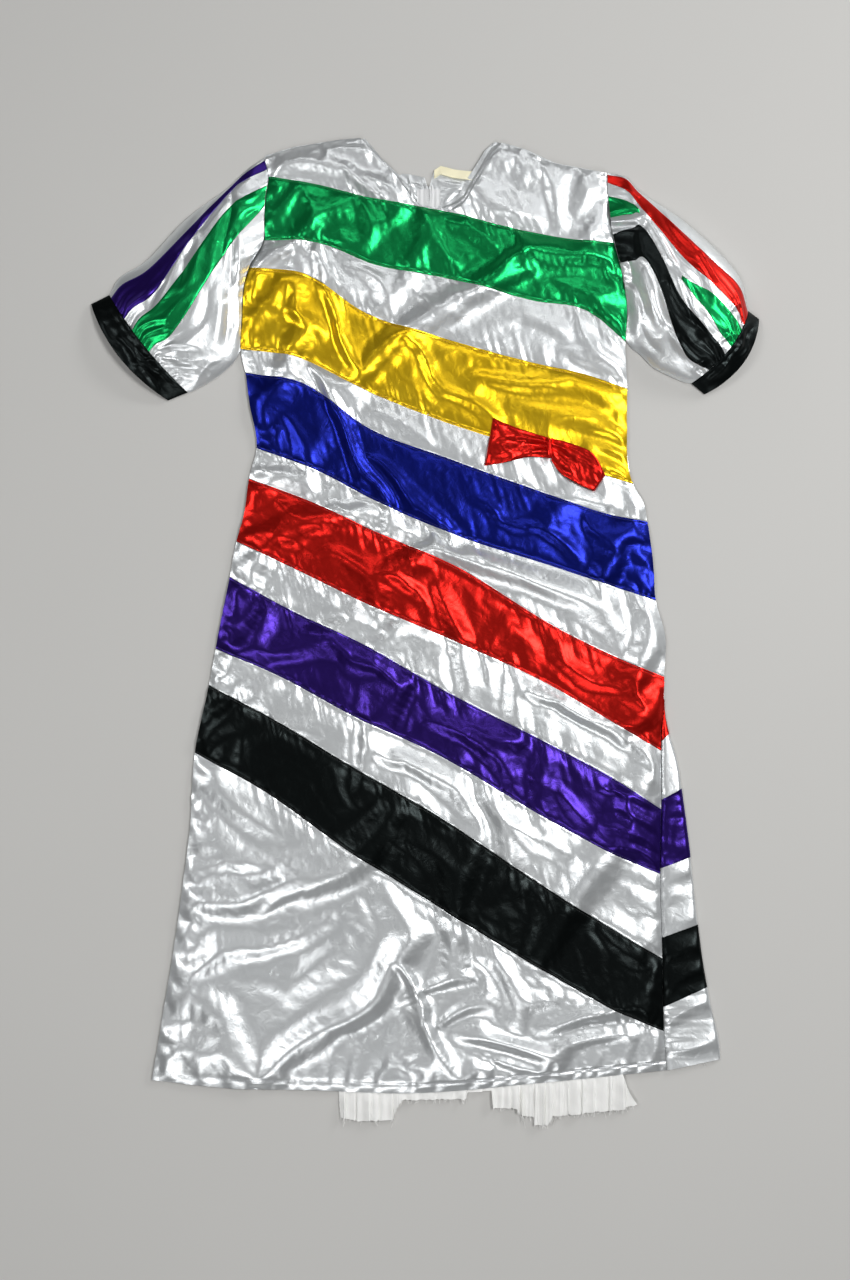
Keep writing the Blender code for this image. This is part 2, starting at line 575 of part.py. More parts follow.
def build_cuff(name, outer, inner, mouth, side):
    """A black satin cuff, from the sleeve's last section out to its mouth."""
    end_high, end_low, bow, height = np.array(mouth[0]), np.array(mouth[1]), *mouth[2:]
    last_out, last_in = outer[-1], inner[-1]
    chord = end_low - end_high
    out = np.array((-chord[1], chord[0])) / np.linalg.norm(chord)
    if out[0] * side < 0:
        out = -out
    start_high, start_low = last_out[0][:2], last_out[np.argmin(last_out[:, 1])][:2]
    start_chord = start_low - start_high
    span = float(np.dot(start_chord, start_chord))
    tallest = float(last_out[:, 2].max())

    def carry(point, t, lift):
        f = float(np.clip(np.dot(point[:2] - start_high, start_chord) / span, 0, 1))
        target = end_high + f * chord + out * bow * 4 * f * (1 - f)
        x, y = point[:2] + t * (target - point[:2])
        over = max(point[2] - SLEEVE_EDGE, 0) / (tallest - SLEEVE_EDGE)
        z = point[2]
        if z > SLEEVE_EDGE:
            z = SLEEVE_EDGE + over * (tallest - SLEEVE_EDGE + t * (height - tallest))
        gather = CUFF_GATHER_DEPTH * np.cos(2 * np.pi * CUFF_GATHERS * f) * (1 - t)
        return x, y, z + lift * (over > 0.3) * gather

    rings_out, rings_in = [], []
    for t in (0.0, 0.35, 0.7, 1.0):
        gap = out * SEAM_GAP * (1 - t)
        ring = [carry(p, t, 0.0) for p in last_out]
        hollow = []
        for p, q in zip(last_in, ring):
            x, y, z = carry(p, t, 0.0)
            if z > CLOTH + 0.3:
                z = max(min(z, q[2] - CLOTH), CLOTH + 0.4) if q[2] > SLEEVE_EDGE else z
            hollow.append((x, y, z))
        rings_out.append([(x + gap[0], y + gap[1], z) for x, y, z in ring])
        rings_in.append([(x + gap[0], y + gap[1], z) for x, y, z in hollow])
    add_piece(name, *closed_wall(rings_out, rings_in, ring=True), BLACK)


def build_sleeve(side_name, table, steps, bands, outline, span, side, mouth):
    """A sleeve, its bands and its cuff."""
    outer, inner, upper = sleeve_sections(table, steps, side, outline, span)
    add_piece("sleeve_" + side_name, *closed_wall(outer, inner, ring=True), WHITE)
    column = 0
    for k, count in enumerate(steps):
        if k % 2 == 1 and k // 2 < len(bands):
            name, colour = bands[k // 2]
            strip = upper[:, column:column + count + 1]
            piece = "sleeve_%s_%s" % (side_name, name)
            add_piece(piece, *closed_wall(*lay_on(strip, run=0)), colour)
        column += count
    build_cuff("cuff_" + side_name, outer, inner, mouth, side)


def build_ruffle():
    """The gathered frill that shows under the hem."""
    columns = []
    for (tuck_a, edge_a, y_a), (tuck_b, edge_b, y_b) in zip(RUFFLE_EDGE, RUFFLE_EDGE[1:]):
        steps = max(1, round((tuck_b - tuck_a) / 4.5))
        for k in range(steps):
            t = k / steps
            columns.append((tuck_a + t * (tuck_b - tuck_a), edge_a + t * (edge_b - edge_a),
                            y_a + t * (y_b - y_a)))
    columns.append(RUFFLE_EDGE[-1])
    outer, inner = [], []
    for t in (-1.0, 0.0, 0.33, 0.66, 1.0):
        upper, lower = [], []
        for tuck, edge, y_edge in columns:
            place = (edge - SIDE_LEFT[0][1]) / (SEAM_RIGHT[0][1] - SIDE_LEFT[0][1])
            hem = smooth_line(LINE_AT, FRONT_LINES[0][1], place)
            y_edge = min(y_edge, hem - 3)
            y_tuck, y_out = hem + RUFFLE_TUCK, hem - 1.5
            y = y_tuck if t < 0 else y_out + t * (y_edge - y_out)
            x = tuck + (y_tuck - y) / (y_tuck - y_edge) * (edge - tuck)
            free = soft_step(hem - y, 2, 16)
            turn = np.interp(x, PLEATS, np.arange(len(PLEATS)) * 2 * np.pi)
            wave = 0.5 - 0.5 * np.cos(turn)
            low = (1 - free) * (LAYER_TOP + SEAM_GAP) + free * RUFFLE_WAVE * wave
            upper.append((x, y, low + RUFFLE_WALL))
            lower.append((x, y, low))
        outer.append(upper)
        inner.append(lower)
    add_piece("petticoat_ruffle", *closed_wall(outer, inner), COTTON, COTTON_ROUGH)


def bow_base(x, y):
    """Z on which the bow rests: the front with the thickness of a band on it."""
    return front_surface(x, y) + SEAM_GAP + BAND_WALL + SEAM_GAP + 0.5


def build_bow_loop(name, wide_up, wide_low, knot_up, knot_low, bulge):
    """A loop of the bow: a strip that runs out under, turns at its end and comes back."""
    wide_up, wide_low = np.array(wide_up), np.array(wide_low)
    knot_up, knot_low = np.array(knot_up), np.array(knot_low)
    axis = (wide_up + wide_low - knot_up - knot_low) / 2
    axis /= np.linalg.norm(axis)
    sideways = np.array((-axis[1], axis[0]))
    if np.dot(sideways, wide_up - wide_low) < 0:
        sideways = -sideways
    path = [(t, 0.0) for t in (0.0, 0.3, 0.6, 0.85)]
    path += [(0.97, 0.12), (1.0, 0.5), (0.97, 0.88)]
    path += [(t, 1.0) for t in (0.85, 0.6, 0.3, 0.0)]
    outer, inner = [], []
    for t, side in path:
        full = 2 * BOW_WALL + 0.4 + (BOW_LOOP_HEIGHT - 2 * BOW_WALL) * soft_step(t, 0, 0.8)
        row_out, row_in = [], []
        for v in np.linspace(0, 1, 9):
            spot = (knot_up + v * (knot_low - knot_up)) * (1 - t)
            spot = spot + (wide_up + v * (wide_low - wide_up)) * t
            spot = spot + sideways * bulge * 4 * t * (1 - t) * (1 - 2 * v)
            base = bow_base(*spot)
            pleat = 0.8 * (1 - t) * (1 - np.cos(2 * np.pi * BOW_PLEATS * v))
            z = base + side * full + pleat * (side > 0.4)
            z_in = base + BOW_WALL + side * (full - 2 * BOW_WALL) + pleat * (side > 0.4)
            row_out.append((*spot, z))
            inset = axis * BOW_WALL * soft_step(t, 0.9, 1.0)
            row_in.append((*(spot - inset), z_in))
        outer.append(row_out)
        inner.append(row_in)
    add_piece(name, *closed_wall(outer, inner), RED)


def build_bow_knot():
    """The knot: a short pleated strip wrapped round the middle of the bow."""
    low_x, high_x, low_y, high_y = BOW_KNOT
    centre = np.array(((low_x + high_x) / 2, (low_y + high_y) / 2))
    base = bow_base(*centre)
    knot = bmesh.new()
    bmesh.ops.create_cube(knot, size=1.0)
    size = np.array((high_x - low_x - 1.2, high_y - low_y, BOW_KNOT_HEIGHT))
    for corner in knot.verts:
        corner.co.x = centre[0] + corner.co.x * size[0]
        corner.co.y = centre[1] + corner.co.y * size[1]
        corner.co.z = base + (corner.co.z + 0.5) * size[2]
    bmesh.ops.bevel(knot, geom=list(knot.edges), offset=2.2, segments=2, profile=0.5,
                    affect="EDGES", material=-1)
    bmesh.ops.triangulate(knot, faces=list(knot.faces))
    knot.verts.ensure_lookup_table()
    points = np.array([tuple(v.co) for v in knot.verts])
    faces = [tuple(v.index for v in face.verts) for face in knot.faces]
    knot.free()
    add_piece("bow_knot", points, faces, RED)


for old in list(bpy.data.objects):
    bpy.data.objects.remove(old, do_unlink=True)

build_back()
build_zip()
build_facing()
build_front()
build_sleeve("left", LEFT_SLEEVE, LEFT_STEPS, (("purple", PURPLE), ("green", GREEN)),
             SIDE_LEFT, ARMHOLE_LEFT, -1, LEFT_CUFF)
build_sleeve("right", RIGHT_SLEEVE, RIGHT_STEPS,
             (("red", RED), ("green", GREEN), ("black", BLACK)),
             SIDE_RIGHT, ARMHOLE_RIGHT, 1, RIGHT_CUFF)
build_ruffle()
for loop in BOW_LOOPS:
    build_bow_loop(*loop)
build_bow_knot()
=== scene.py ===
import math

import bmesh
import bpy
import numpy as np
from mathutils import Matrix, Vector


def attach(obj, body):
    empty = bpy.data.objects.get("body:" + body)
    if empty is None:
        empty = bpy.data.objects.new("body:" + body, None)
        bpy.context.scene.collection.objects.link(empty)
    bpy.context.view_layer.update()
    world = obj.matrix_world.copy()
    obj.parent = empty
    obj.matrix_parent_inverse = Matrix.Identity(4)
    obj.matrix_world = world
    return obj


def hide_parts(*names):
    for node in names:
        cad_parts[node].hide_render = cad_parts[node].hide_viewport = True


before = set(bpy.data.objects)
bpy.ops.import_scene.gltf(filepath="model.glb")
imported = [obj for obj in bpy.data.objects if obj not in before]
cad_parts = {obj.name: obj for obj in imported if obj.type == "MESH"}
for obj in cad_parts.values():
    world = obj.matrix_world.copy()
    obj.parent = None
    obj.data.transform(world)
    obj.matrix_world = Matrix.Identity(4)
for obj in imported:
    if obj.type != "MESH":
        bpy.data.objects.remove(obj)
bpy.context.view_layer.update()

# The photograph is taken from straight above with the whole dress in view. A mid-length lens
# from about 2.2 metres up gives its flat look, and each of its 850 by 1280 pixels covers 1.1 mm.
PIXEL = 0.0011
PHOTO_SIZE = (850, 1280)
ORIGIN_PIXEL = (425.1, 631.9)        # where the part's origin lies in the photograph
LENS_MM, FILM_MM = 56.0, 36.0


def spot(px, py):
    """X and Y in metres of a place in the photograph."""
    return (px - ORIGIN_PIXEL[0]) * PIXEL, (ORIGIN_PIXEL[1] - py) * PIXEL


camera = bpy.data.objects.new("camera", bpy.data.cameras.new("camera"))
camera.data.lens = LENS_MM
camera.data.sensor_width = FILM_MM
camera_height = PHOTO_SIZE[1] * PIXEL * LENS_MM / FILM_MM
camera.location = (*spot(PHOTO_SIZE[0] / 2, PHOTO_SIZE[1] / 2), camera_height)
bpy.context.scene.collection.objects.link(camera)
bpy.context.scene.camera = camera


# A round of plain pale paper is the floor, under soft studio light. A large lamp high on the right
# casts the shadows to the left, as in the photograph, and a low one beside it grazes the cloth
# and draws its folds. The room has pale walls, which satin mirrors, and a dark ceiling.
def linear(hex_colour):
    """Linear red, green, blue and alpha of an sRGB hex colour."""
    parts = [int(hex_colour[k:k + 2], 16) / 255 for k in (1, 3, 5)]
    return (*[c / 12.92 if c <= 0.04045 else ((c + 0.055) / 1.055) ** 2.4 for c in parts], 1.0)


def add_node(tree, kind, settings=(), inputs=(), links=()):
    """A node with its settings, its input values and its links from other nodes' sockets."""
    node = tree.nodes.new("ShaderNode" + kind)
    for name, value in dict(settings).items():
        setattr(node, name, value)
    for name, value in dict(inputs).items():
        node.inputs[name].default_value = value
    for name, socket in dict(links).items():
        tree.links.new(socket, node.inputs[name])
    return node


def new_material(name):
    """An empty node material, with its tree and its output."""
    material = bpy.data.materials.new(name)
    material.use_nodes = True
    tree = material.node_tree
    tree.nodes.clear()
    return material, tree, tree.nodes.new("ShaderNodeOutputMaterial")


def make_paper():
    """Matt pale paper with a faint cloudy tone."""
    material, tree, output = new_material("studio_paper")
    place = add_node(tree, "TexCoord")
    cloud = add_node(tree, "TexNoise", inputs={"Scale": 1.5, "Detail": 3.0},
                     links={"Vector": place.outputs["Object"]})
    tone = add_node(tree, "MixRGB", inputs={"Color1": linear("#CFCECB"),
                                            "Color2": linear("#C9C8C5")},
                    links={"Fac": cloud.outputs["Fac"]})
    shader = add_node(tree, "BsdfPrincipled", inputs={"Roughness": 0.9},
                      links={"Base Color": tone.outputs["Color"]})
    tree.links.new(shader.outputs["BSDF"], output.inputs["Surface"])
    return material


FLOOR_RADIUS, FLOOR_DROP = 2.1, 0.0002           # metres; the paper lies just under the cloth
paper = bmesh.new()
bmesh.ops.create_circle(paper, cap_ends=True, segments=128, radius=FLOOR_RADIUS)
floor_mesh = bpy.data.meshes.new("floor")
paper.to_mesh(floor_mesh)
paper.free()
floor_mesh.transform(Matrix.Translation((0, 0, -FLOOR_DROP)))
floor_mesh.materials.append(make_paper())
floor = bpy.data.objects.new("floor", floor_mesh)
bpy.context.scene.collection.objects.link(floor)


LIGHTS = (               # name, place, aim, width, height and power in watts
    ("key", (1.15, 0.3, 2.2), (0.0, 0.0, 0.0), 0.7, 0.7, 28),
    ("left", (-1.5, 0.2, 2.0), (0.0, 0.0, 0.0), 0.5, 0.9, 12),
    ("strip", (0.1, 1.7, 2.0), (0.0, 0.1, 0.0), 1.4, 0.3, 5),
    ("low", (-0.3, -1.7, 2.0), (0.0, -0.2, 0.0), 1.2, 0.4, 11),
    ("grazing", (2.1, 1.7, 0.95), (0.0, 0.0, 0.0), 0.9, 0.5, 25),
)
for name, place, aim, width, height, watts in LIGHTS:
    lamp = bpy.data.lights.new(name, "AREA")
    lamp.shape = "RECTANGLE"
    lamp.size, lamp.size_y = width, height
    lamp.energy = watts
    light = bpy.data.objects.new(name, lamp)
    light.location = place
    light.rotation_euler = (Vector(aim) - Vector(place)).to_track_quat("-Z", "Y").to_euler()
    bpy.context.scene.collection.objects.link(light)

WALL_LIGHT, CEILING_LIGHT = 0.48, 0.06
world = bpy.data.worlds.new("studio")
world.use_nodes = True
sky = world.node_tree
sky.nodes.clear()
direction = add_node(sky, "TexCoord")
upward = add_node(sky, "SeparateXYZ", links={"Vector": direction.outputs["Generated"]})
strength = add_node(sky, "MapRange", settings={"interpolation_type": "SMOOTHSTEP"},
                    inputs={"From Min": 0.0, "From Max": 0.5,
                            "To Min": WALL_LIGHT, "To Max": CEILING_LIGHT},
                    links={"Value": upward.outputs["Z"]})
walls = add_node(sky, "Background", inputs={"Color": linear("#E4E5E6")},
                 links={"Strength": strength.outputs["Result"]})
sky_output = sky.nodes.new("ShaderNodeOutputWorld")
sky.links.new(walls.outputs["Background"], sky_output.inputs["Surface"])
bpy.context.scene.world = world
# The standard view transform keeps the bright parts of dyed satin in their full colour.
bpy.context.scene.view_settings.view_transform = "Standard"


# The front is a single panel of white polyester satin, cut from shoulder to hem, with six bands
# sewn across it. Satin has long floats, so it is smooth and glossy: its folds show as bright
# streaks beside soft grey ones. Sizes of cloth are in millimetres in the tables, as a maker's.
MM = 0.001
CENTRE = np.array((-1.0, 0.4))         # the tables' zero, seen from the part's origin
SIDE_LEFT = (            # Y, X of the left outline, from the hem up
    (-492, -301), (-427, -290.4), (-348, -277.2), (-269, -266.2), (-216, -259.6),
    (-132.6, -254), (-57, -238.3), (-17, -231), (61, -215.6), (99, -208.5), (127, -200.5),
    (170, -194.2), (204, -186), (252, -194), (283, -198), (310, -203.5), (335, -202.4),
    (401, -193.6), (430, -178), (452, -177.4), (479, -175.8), (503, -173), (521, -177.7),
)
SIDE_RIGHT = (           # Y, X of the right outline, which is a fold of the back below the hip
    (-469, 323), (-449, 321.2), (-416, 313.8), (-371, 304.7), (-314, 297.2), (-244, 289.6),
    (-187, 282.2), (-145, 276), (-114.6, 267.3), (-97, 263), (-49, 261.8), (-5, 262.9),
    (36, 252.3), (74, 249.7), (122, 243.1), (139, 240), (164, 227), (229, 220.7),
    (268, 221), (321, 219), (351, 220.7), (405, 212.3), (431, 205.7), (456, 201.6),
    (480, 199.4), (505, 198.6),
)
SEAM_RIGHT = (           # Y, X of the right side seam, where it lies on top
    (-484, 265), (-440.6, 261.8), (-347, 259.6), (-265.7, 257.4), (-196.4, 258.6),
    (-130.4, 258.6), (-103, 258.8), (-91, 260.6), (-75, 262.2),
)
LINE_AT = (0.0, 0.15, 0.30, 0.50, 0.75, 0.90, 1.0)       # fractions across, left to right
FRONT_LINES = (          # name, Y at each of those places across, rows of mesh above it
    ("hem", (-492, -501, -503, -506.5, -495.5, -487, -481), 122),
    ("black_low", (-132.6, -175.5, -230.5, -295.5, -374, -416.5, -438.5), 0),
    ("black_up", (-57.8, -97.4, -142.5, -199.7, -282, -328.4, -358), 34),
    ("purple_low", (-18.2, -50, -89.7, -134.8, -206.3, -244.8, -265.7), 0),
    ("purple_up", (61, 22.5, -10.5, -64.4, -124.9, -163.4, -194.2), 28),
    ("red_low", (99.6, 66.6, 32.5, -7.2, -61.1, -102.9, -130.4), 0),
    ("red_up", (168.9, 143.6, 111.6, 72.1, 2.8, -30.3, -49), 32),
    ("blue_low", (201.9, 177.7, 143.6, 106.2, 71, 49, 34.7), 0),
    ("blue_up", (285.5, 272.3, 226.1, 192, 152.4, 130.4, 121.6), 20),
    ("yellow_low", (310.8, 300.9, 269, 233.8, 198.6, 175.5, 162.3), 0),
    ("yellow_up", (401, 393.3, 352.6, 325.1, 296.5, 282.2, 267.9), 28),
    ("green_low", (430.7, 427.4, 404.3, 388.9, 363.6, 351.5, 319.6), 0),
    ("green_up", (501, 491.2, 476.9, 463.7, 440.6, 430.7, 428.5), 46),
)
UNDER_BAND = (0.0, 0.03, 0.10, 0.35, 0.65, 0.90, 0.97)       # rows of the panel that a band covers
SHOULDER_LEFT, SHOULDER_RIGHT = 520.9, 504.9     # Y of the shoulder tips
SHOULDER_LINE = (521, 535, 540, 480, 530, 512, 505)      # Y of shoulders and neck at LINE_AT
FRONT_TOP = (            # X, Y along shoulder, neckline and shoulder
    (-180, 521), (-138.6, 533.6), (-90, 541), (-67.1, 542.9), (-50.6, 525.6),
    (-35.2, 511.7), (-13.8, 482.7), (-3, 470.8), (10.7, 466), (26, 470), (42, 480),
    (52, 499), (60, 511), (71.5, 529.7), (82.2, 538.9), (110, 531), (141.9, 516), (199, 505),
)
FRONT_COLUMNS = 250                       # columns of mesh across the front
TURN_TOP, SEAM_GAP = -75.0, 0.3           # Y at which the turned part starts; gap at its seam
HEM_LEFT, HEM_WIDTH = -301.0, 566.0       # X of the hem's left end, and the hem's width
EDGE_HEIGHT, BODY_HEIGHT = 2.6, 5.0       # height of the front at its edges and inside
EDGE_REACH, EDGE_CURVE = 13.0, 2.2        # how far in from an edge the cloth rises, how sharply
TOP_CURVE = 1.7                           # how much sooner it rises at neck and shoulders
LOW_LIMIT, LOW_ROOM = 3.0, 1.1            # a trough flattens out below this height, in this room
HIDDEN_HEIGHT, HIDDEN_DROP = 1.5, 1.6     # height under a band, and how far its rim dips
SEAM_TOP, SEAM_GROOVE = -80.0, 2.2        # the side seam lies on top below this Y; its depth
HEM_GROOVE, HEM_INSET, HEM_SOFT = 0.9, 10.0, 1.5          # depth, place and width of its groove
NECK_INSET, NECK_SOFT, NECK_REACH = 6.0, 1.8, 90.0        # the neck's, and how far out it goes
EDGE_RELIEF = 0.3                         # share of a fold's height that is left at an edge
SEAM_DIP, SEAM_REACH = 1.3, 6.0           # how deep a stitched edge is drawn in, and how wide

FOLDS = (                # X, Y of both ends in the photograph's pixels, bend, half width, height
    ((296, 180), (313, 234), 6, 10, 2.6), ((336, 214), (368, 262), -8, 14, 2.0),
    ((360, 200), (372, 240), 4, 8, 2.0), ((424, 206), (466, 270), -9, 13, 2.4),
    ((452, 224), (505, 256), 6, 8, 2.2),
    ((500, 268), (546, 246), 4, 7, 2.2), ((520, 240), (540, 285), -4, 6, 1.8),
    ((568, 256), (610, 262), 3, 7, 1.8), ((560, 284), (612, 296), -4, 7, 1.8),
    ((596, 312), (628, 330), 3, 6, 1.6),
    ((285, 165), (345, 172), 5, 8, 1.8), ((345, 166), (402, 207), -6, 7, 2.2),
    ((362, 176), (398, 196), 3, 4, 1.4), ((330, 150), (372, 160), 4, 12, 2.0),
    ((520, 160), (566, 208), 8, 18, 2.6), ((585, 168), (600, 230), -5, 12, 2.0),
    ((480, 205), (540, 222), 3, 8, 1.4),
    ((272, 250), (300, 262), 4, 8, 1.6), ((318, 250), (347, 292), -5, 8, 2.4),
    ((362, 268), (392, 306), 6, 9, 2.2), ((410, 285), (470, 320), -6, 9, 2.0),
    ((455, 295), (520, 300), 6, 10, 2.2), ((520, 318), (575, 340), 5, 8, 1.8),
    ((580, 330), (625, 372), -5, 8, 1.8), ((560, 352), (608, 378), 4, 6, 1.4),
    ((322, 285), (341, 332), 4, 6, 2.8), ((338, 328), (364, 374), -3, 6, 2.8),
    ((262, 304), (322, 331), 5, 6, 2.0), ((296, 286), (304, 330), -4, 7, 1.8),
    ((408, 338), (432, 372), 5, 6, 2.6), ((430, 370), (452, 396), -3, 6, 2.4),
    ((450, 394), (498, 420), 4, 6, 2.4), ((478, 376), (562, 384), -6, 7, 1.8),
    ((386, 350), (420, 392), -5, 9, 1.8), ((570, 350), (618, 372), 5, 8, 1.6),
    ((598, 430), (632, 446), 3, 5, 1.6), ((602, 448), (633, 466), 3, 4, 1.5),
    ((600, 466), (632, 484), 4, 4, 1.4), ((560, 420), (600, 424), 5, 9, 1.6),
    ((270, 368), (318, 396), 6, 8, 1.8), ((330, 402), (385, 430), -6, 8, 2.0),
    ((372, 412), (430, 442), 5, 6, 1.8), ((560, 462), (622, 492), 4, 7, 1.6),
    ((336, 414), (350, 442), 3, 6, 2.6), ((350, 441), (366, 476), -3, 6, 2.8),
    ((365, 475), (392, 506), 3, 6, 2.4), ((364, 454), (400, 482), 4, 5, 2.0),
    ((400, 481), (421, 511), -4, 6, 2.4), ((420, 510), (456, 536), 3, 6, 2.0),
    ((480, 500), (500, 521), 4, 6, 2.2), ((500, 520), (536, 526), -4, 6, 2.2),
    ((535, 526), (581, 561), 4, 6, 2.4), ((585, 520), (616, 546), -4, 7, 1.8),
    ((290, 420), (310, 470), 4, 10, 1.6), ((560, 500), (640, 512), 4, 8, 1.4),
    ((258, 470), (320, 494), 5, 8, 1.8), ((330, 500), (398, 536), -5, 8, 1.8),
    ((430, 548), (520, 590), 6, 8, 2.0), ((470, 552), (590, 600), -6, 6, 1.6),
    ((262, 530), (322, 561), 5, 7, 2.2), ((280, 506), (330, 530), -4, 7, 1.6),
    ((389, 574), (431, 611), 5, 7, 2.4), ((438, 590), (482, 652), -7, 9, 2.4),
    ((500, 600), (560, 640), 6, 9, 1.8), ((560, 660), (620, 690), -5, 7, 1.8),
    ((600, 700), (650, 720), 4, 7, 1.6), ((340, 556), (380, 590), 4, 9, 1.6),
    ((252, 560), (330, 600), 5, 9, 1.8), ((330, 604), (420, 640), -6, 10, 1.8),
    ((520, 690), (590, 720), 5, 6, 1.8), ((560, 708), (640, 726), -5, 6, 2.0),
    ((540, 700), (575, 712), 4, 5, 1.6), ((600, 728), (655, 764), 5, 7, 1.8),
    ((340, 648), (402, 690), 4, 9, 1.6), ((360, 662), (402, 688), 3, 4, 1.4),
    ((428, 720), (502, 762), 6, 7, 1.8), ((470, 728), (520, 742), -4, 5, 1.6),
    ((520, 775), (580, 812), 5, 8, 1.8), ((560, 790), (600, 830), -5, 6, 1.8),
    ((600, 788), (655, 806), 3, 4, 1.8), ((606, 806), (656, 828), 3, 4, 1.8),
    ((600, 824), (657, 848), 4, 4, 1.8), ((616, 846), (658, 862), 3, 4, 1.6),
    ((380, 756), (470, 800), 6, 8, 1.8), ((480, 800), (560, 846), -6, 8, 1.8),
    ((560, 850), (640, 900), 5, 8, 1.8), ((420, 802), (500, 858), -6, 10, 1.6),
    ((400, 840), (470, 880), 5, 12, 1.6), ((560, 905), (640, 948), 6, 8, 1.8),
    ((600, 930), (655, 970), -4, 6, 1.6),
    ((208, 866), (300, 868), 6, 8, 2.0), ((240, 905), (330, 872), 8, 12, 2.6),
    ((262, 912), (318, 884), 4, 5, 1.6), ((200, 900), (262, 894), -5, 9, 1.6),
    ((196, 972), (262, 944), 8, 10, 2.2), ((250, 950), (330, 918), -6, 8, 2.0),
    ((300, 900), (372, 862), 6, 12, 2.2), ((262, 1079), (333, 1024), 7, 13, 2.8),
    ((332, 1025), (388, 986), -6, 12, 2.6), ((182, 1040), (240, 1004), 6, 14, 1.8),
    ((290, 990), (352, 944), 6, 16, 2.2), ((380, 985), (430, 930), 8, 16, 2.2),
    ((398, 962), (424, 1012), 4, 6, 2.6), ((422, 1010), (446, 1062), -4, 6, 2.4),
    ((402, 1000), (470, 975), 4, 5, 2.0), ((430, 1030), (486, 1000), 4, 6, 1.8),
    ((470, 1036), (560, 1062), 6, 6, 2.0), ((478, 1052), (556, 1072), -4, 5, 1.6),
    ((560, 1022), (650, 1012), 8, 8, 2.0), ((560, 1045), (656, 1034), 4, 6, 1.6),
    ((500, 960), (560, 1000), -8, 14, 2.0), ((440, 930), (520, 950), 6, 14, 1.6),
)


def soft_curve(places, heights, value):
    """A soft curve through heights at the given places, at an array of values."""
    places, heights = np.asarray(places, float), np.asarray(heights, float)
    value = np.clip(np.asarray(value, float), places[0], places[-1])
    slopes = np.gradient(heights, places)
    i = np.clip(np.searchsorted(places, value) - 1, 0, len(places) - 2)
    step = places[i + 1] - places[i]
    t = (value - places[i]) / step
    rise = (2 * t**3 - 3 * t**2 + 1) * heights[i] + (t**3 - 2 * t**2 + t) * step * slopes[i]
    return rise + (3 * t**2 - 2 * t**3) * heights[i + 1] + (t**3 - t**2) * step * slopes[i + 1]


def table_curve(table, value):
    """The table's second column at values of its first, as a soft curve."""
    rows = np.array(sorted(row[:2] for row in table), float)
    return soft_curve(rows[:, 0], rows[:, 1], value)


def soft_step(value, low, high):
    """0 below low and 1 above high, with a soft rise between."""
    t = np.clip((np.asarray(value, float) - low) / (high - low), 0.0, 1.0)
    return t * t * (3 - 2 * t)


def cloth_spot(pixel):
    """A place in the photograph, in the tables' millimetres."""
    return np.array(spot(*pixel)) / MM + CENTRE


def fold_lift(x, y, folds):
    """How far a table of folds lifts the cloth at arrays of X and Y, in millimetres."""
    total = np.zeros_like(x)
    for start, end, bend, half_width, height in folds:
        start, end = cloth_spot(start), cloth_spot(end)
        along = end - start
        length = float(np.linalg.norm(along))
        along /= length
        reach = half_width * 4
        low, high = np.minimum(start, end) - reach, np.maximum(start, end) + reach
        near = (x > low[0]) & (x < high[0]) & (y > low[1]) & (y < high[1])
        if not near.any():
            continue
        dx, dy = x[near] - start[0], y[near] - start[1]
        t = (dx * along[0] + dy * along[1]) / length
        side = dy * along[0] - dx * along[1] - bend * 4 * t * (1 - t)
        beyond = np.maximum(np.maximum(-t, t - 1), 0) * length
        taper = 1 - 0.55 * np.abs(2 * np.clip(t, 0, 1) - 1) ** 2
        narrow = half_width * (0.7 + 0.5 * np.clip(t, 0, 1))
        ridge = np.exp(-np.abs(side / narrow) ** 1.5 - (beyond / half_width) ** 2)
        trough = np.exp(-((side + 1.9 * narrow) / narrow) ** 2 - (beyond / half_width) ** 2)
        total[near] += height * taper * (ridge - 0.35 * trough)
    return total


CLOTH_WIDE, CLOTH_LONG = (-305, 325), (-510, 545)        # X and Y between which wrinkles lie


def crumple(x, y, slope, count, seed, height, longest=42.0):
    """Many small uneven wrinkles that mostly run along the local slope of the cloth."""
    rng = np.random.default_rng(seed)
    total = np.zeros_like(x)
    for _ in range(count):
        cx, cy = rng.uniform(*CLOTH_WIDE), rng.uniform(*CLOTH_LONG)
        lean = math.atan(slope(cx, cy)) + rng.normal(0, 0.5)
        length, width = rng.uniform(12, longest), rng.uniform(2.8, 7.0)
        lift = height * rng.uniform(0.3, 1.0) * rng.choice((-0.8, 1.0))
        bend = rng.normal(0, 0.3)
        near = (np.abs(x - cx) < length * 1.7) & (np.abs(y - cy) < length * 1.7)
        if not near.any():
            continue
        dx, dy = x[near] - cx, y[near] - cy
        along = dx * math.cos(lean) + dy * math.sin(lean)
        side = dy * math.cos(lean) - dx * math.sin(lean) - along**2 / length * bend
        total[near] += lift * np.exp(-(along / length) ** 2 - np.abs(side / width) ** 1.6)
    return total


def front_slope(x, y):
    """How steeply the bands run down to the right: shallow at the chest, steeper at the hem."""
    return -0.12 - 0.5 * float(soft_step(300 - y, 0, 650))


def seam_ripple(distance, along, seed, reach=13.0, height=0.6):
    """Small puckers across a seam, which die out within its reach on either side."""
    rng = np.random.default_rng(seed)
    wave = np.zeros_like(along)
    for length in (10.0, 14.5, 22.0, 37.0):
        phase = rng.uniform(0, 2 * math.pi)
        drift = 1.8 * np.sin(along / rng.uniform(40, 80) + rng.uniform(0, 6))
        wave += np.cos(2 * math.pi * along / length + phase + drift)
    patchy = 0.5 + 0.5 * np.sin(along / rng.uniform(22, 40) + rng.uniform(0, 6))
    return height * 0.5 * wave * patchy * np.exp(-np.abs(distance) / reach)


def front_right(y):
    """X of the front's right edge."""
    seam = table_curve(SEAM_RIGHT, y) - SEAM_GAP
    return np.where(y > TURN_TOP, table_curve(SIDE_RIGHT, y), seam)


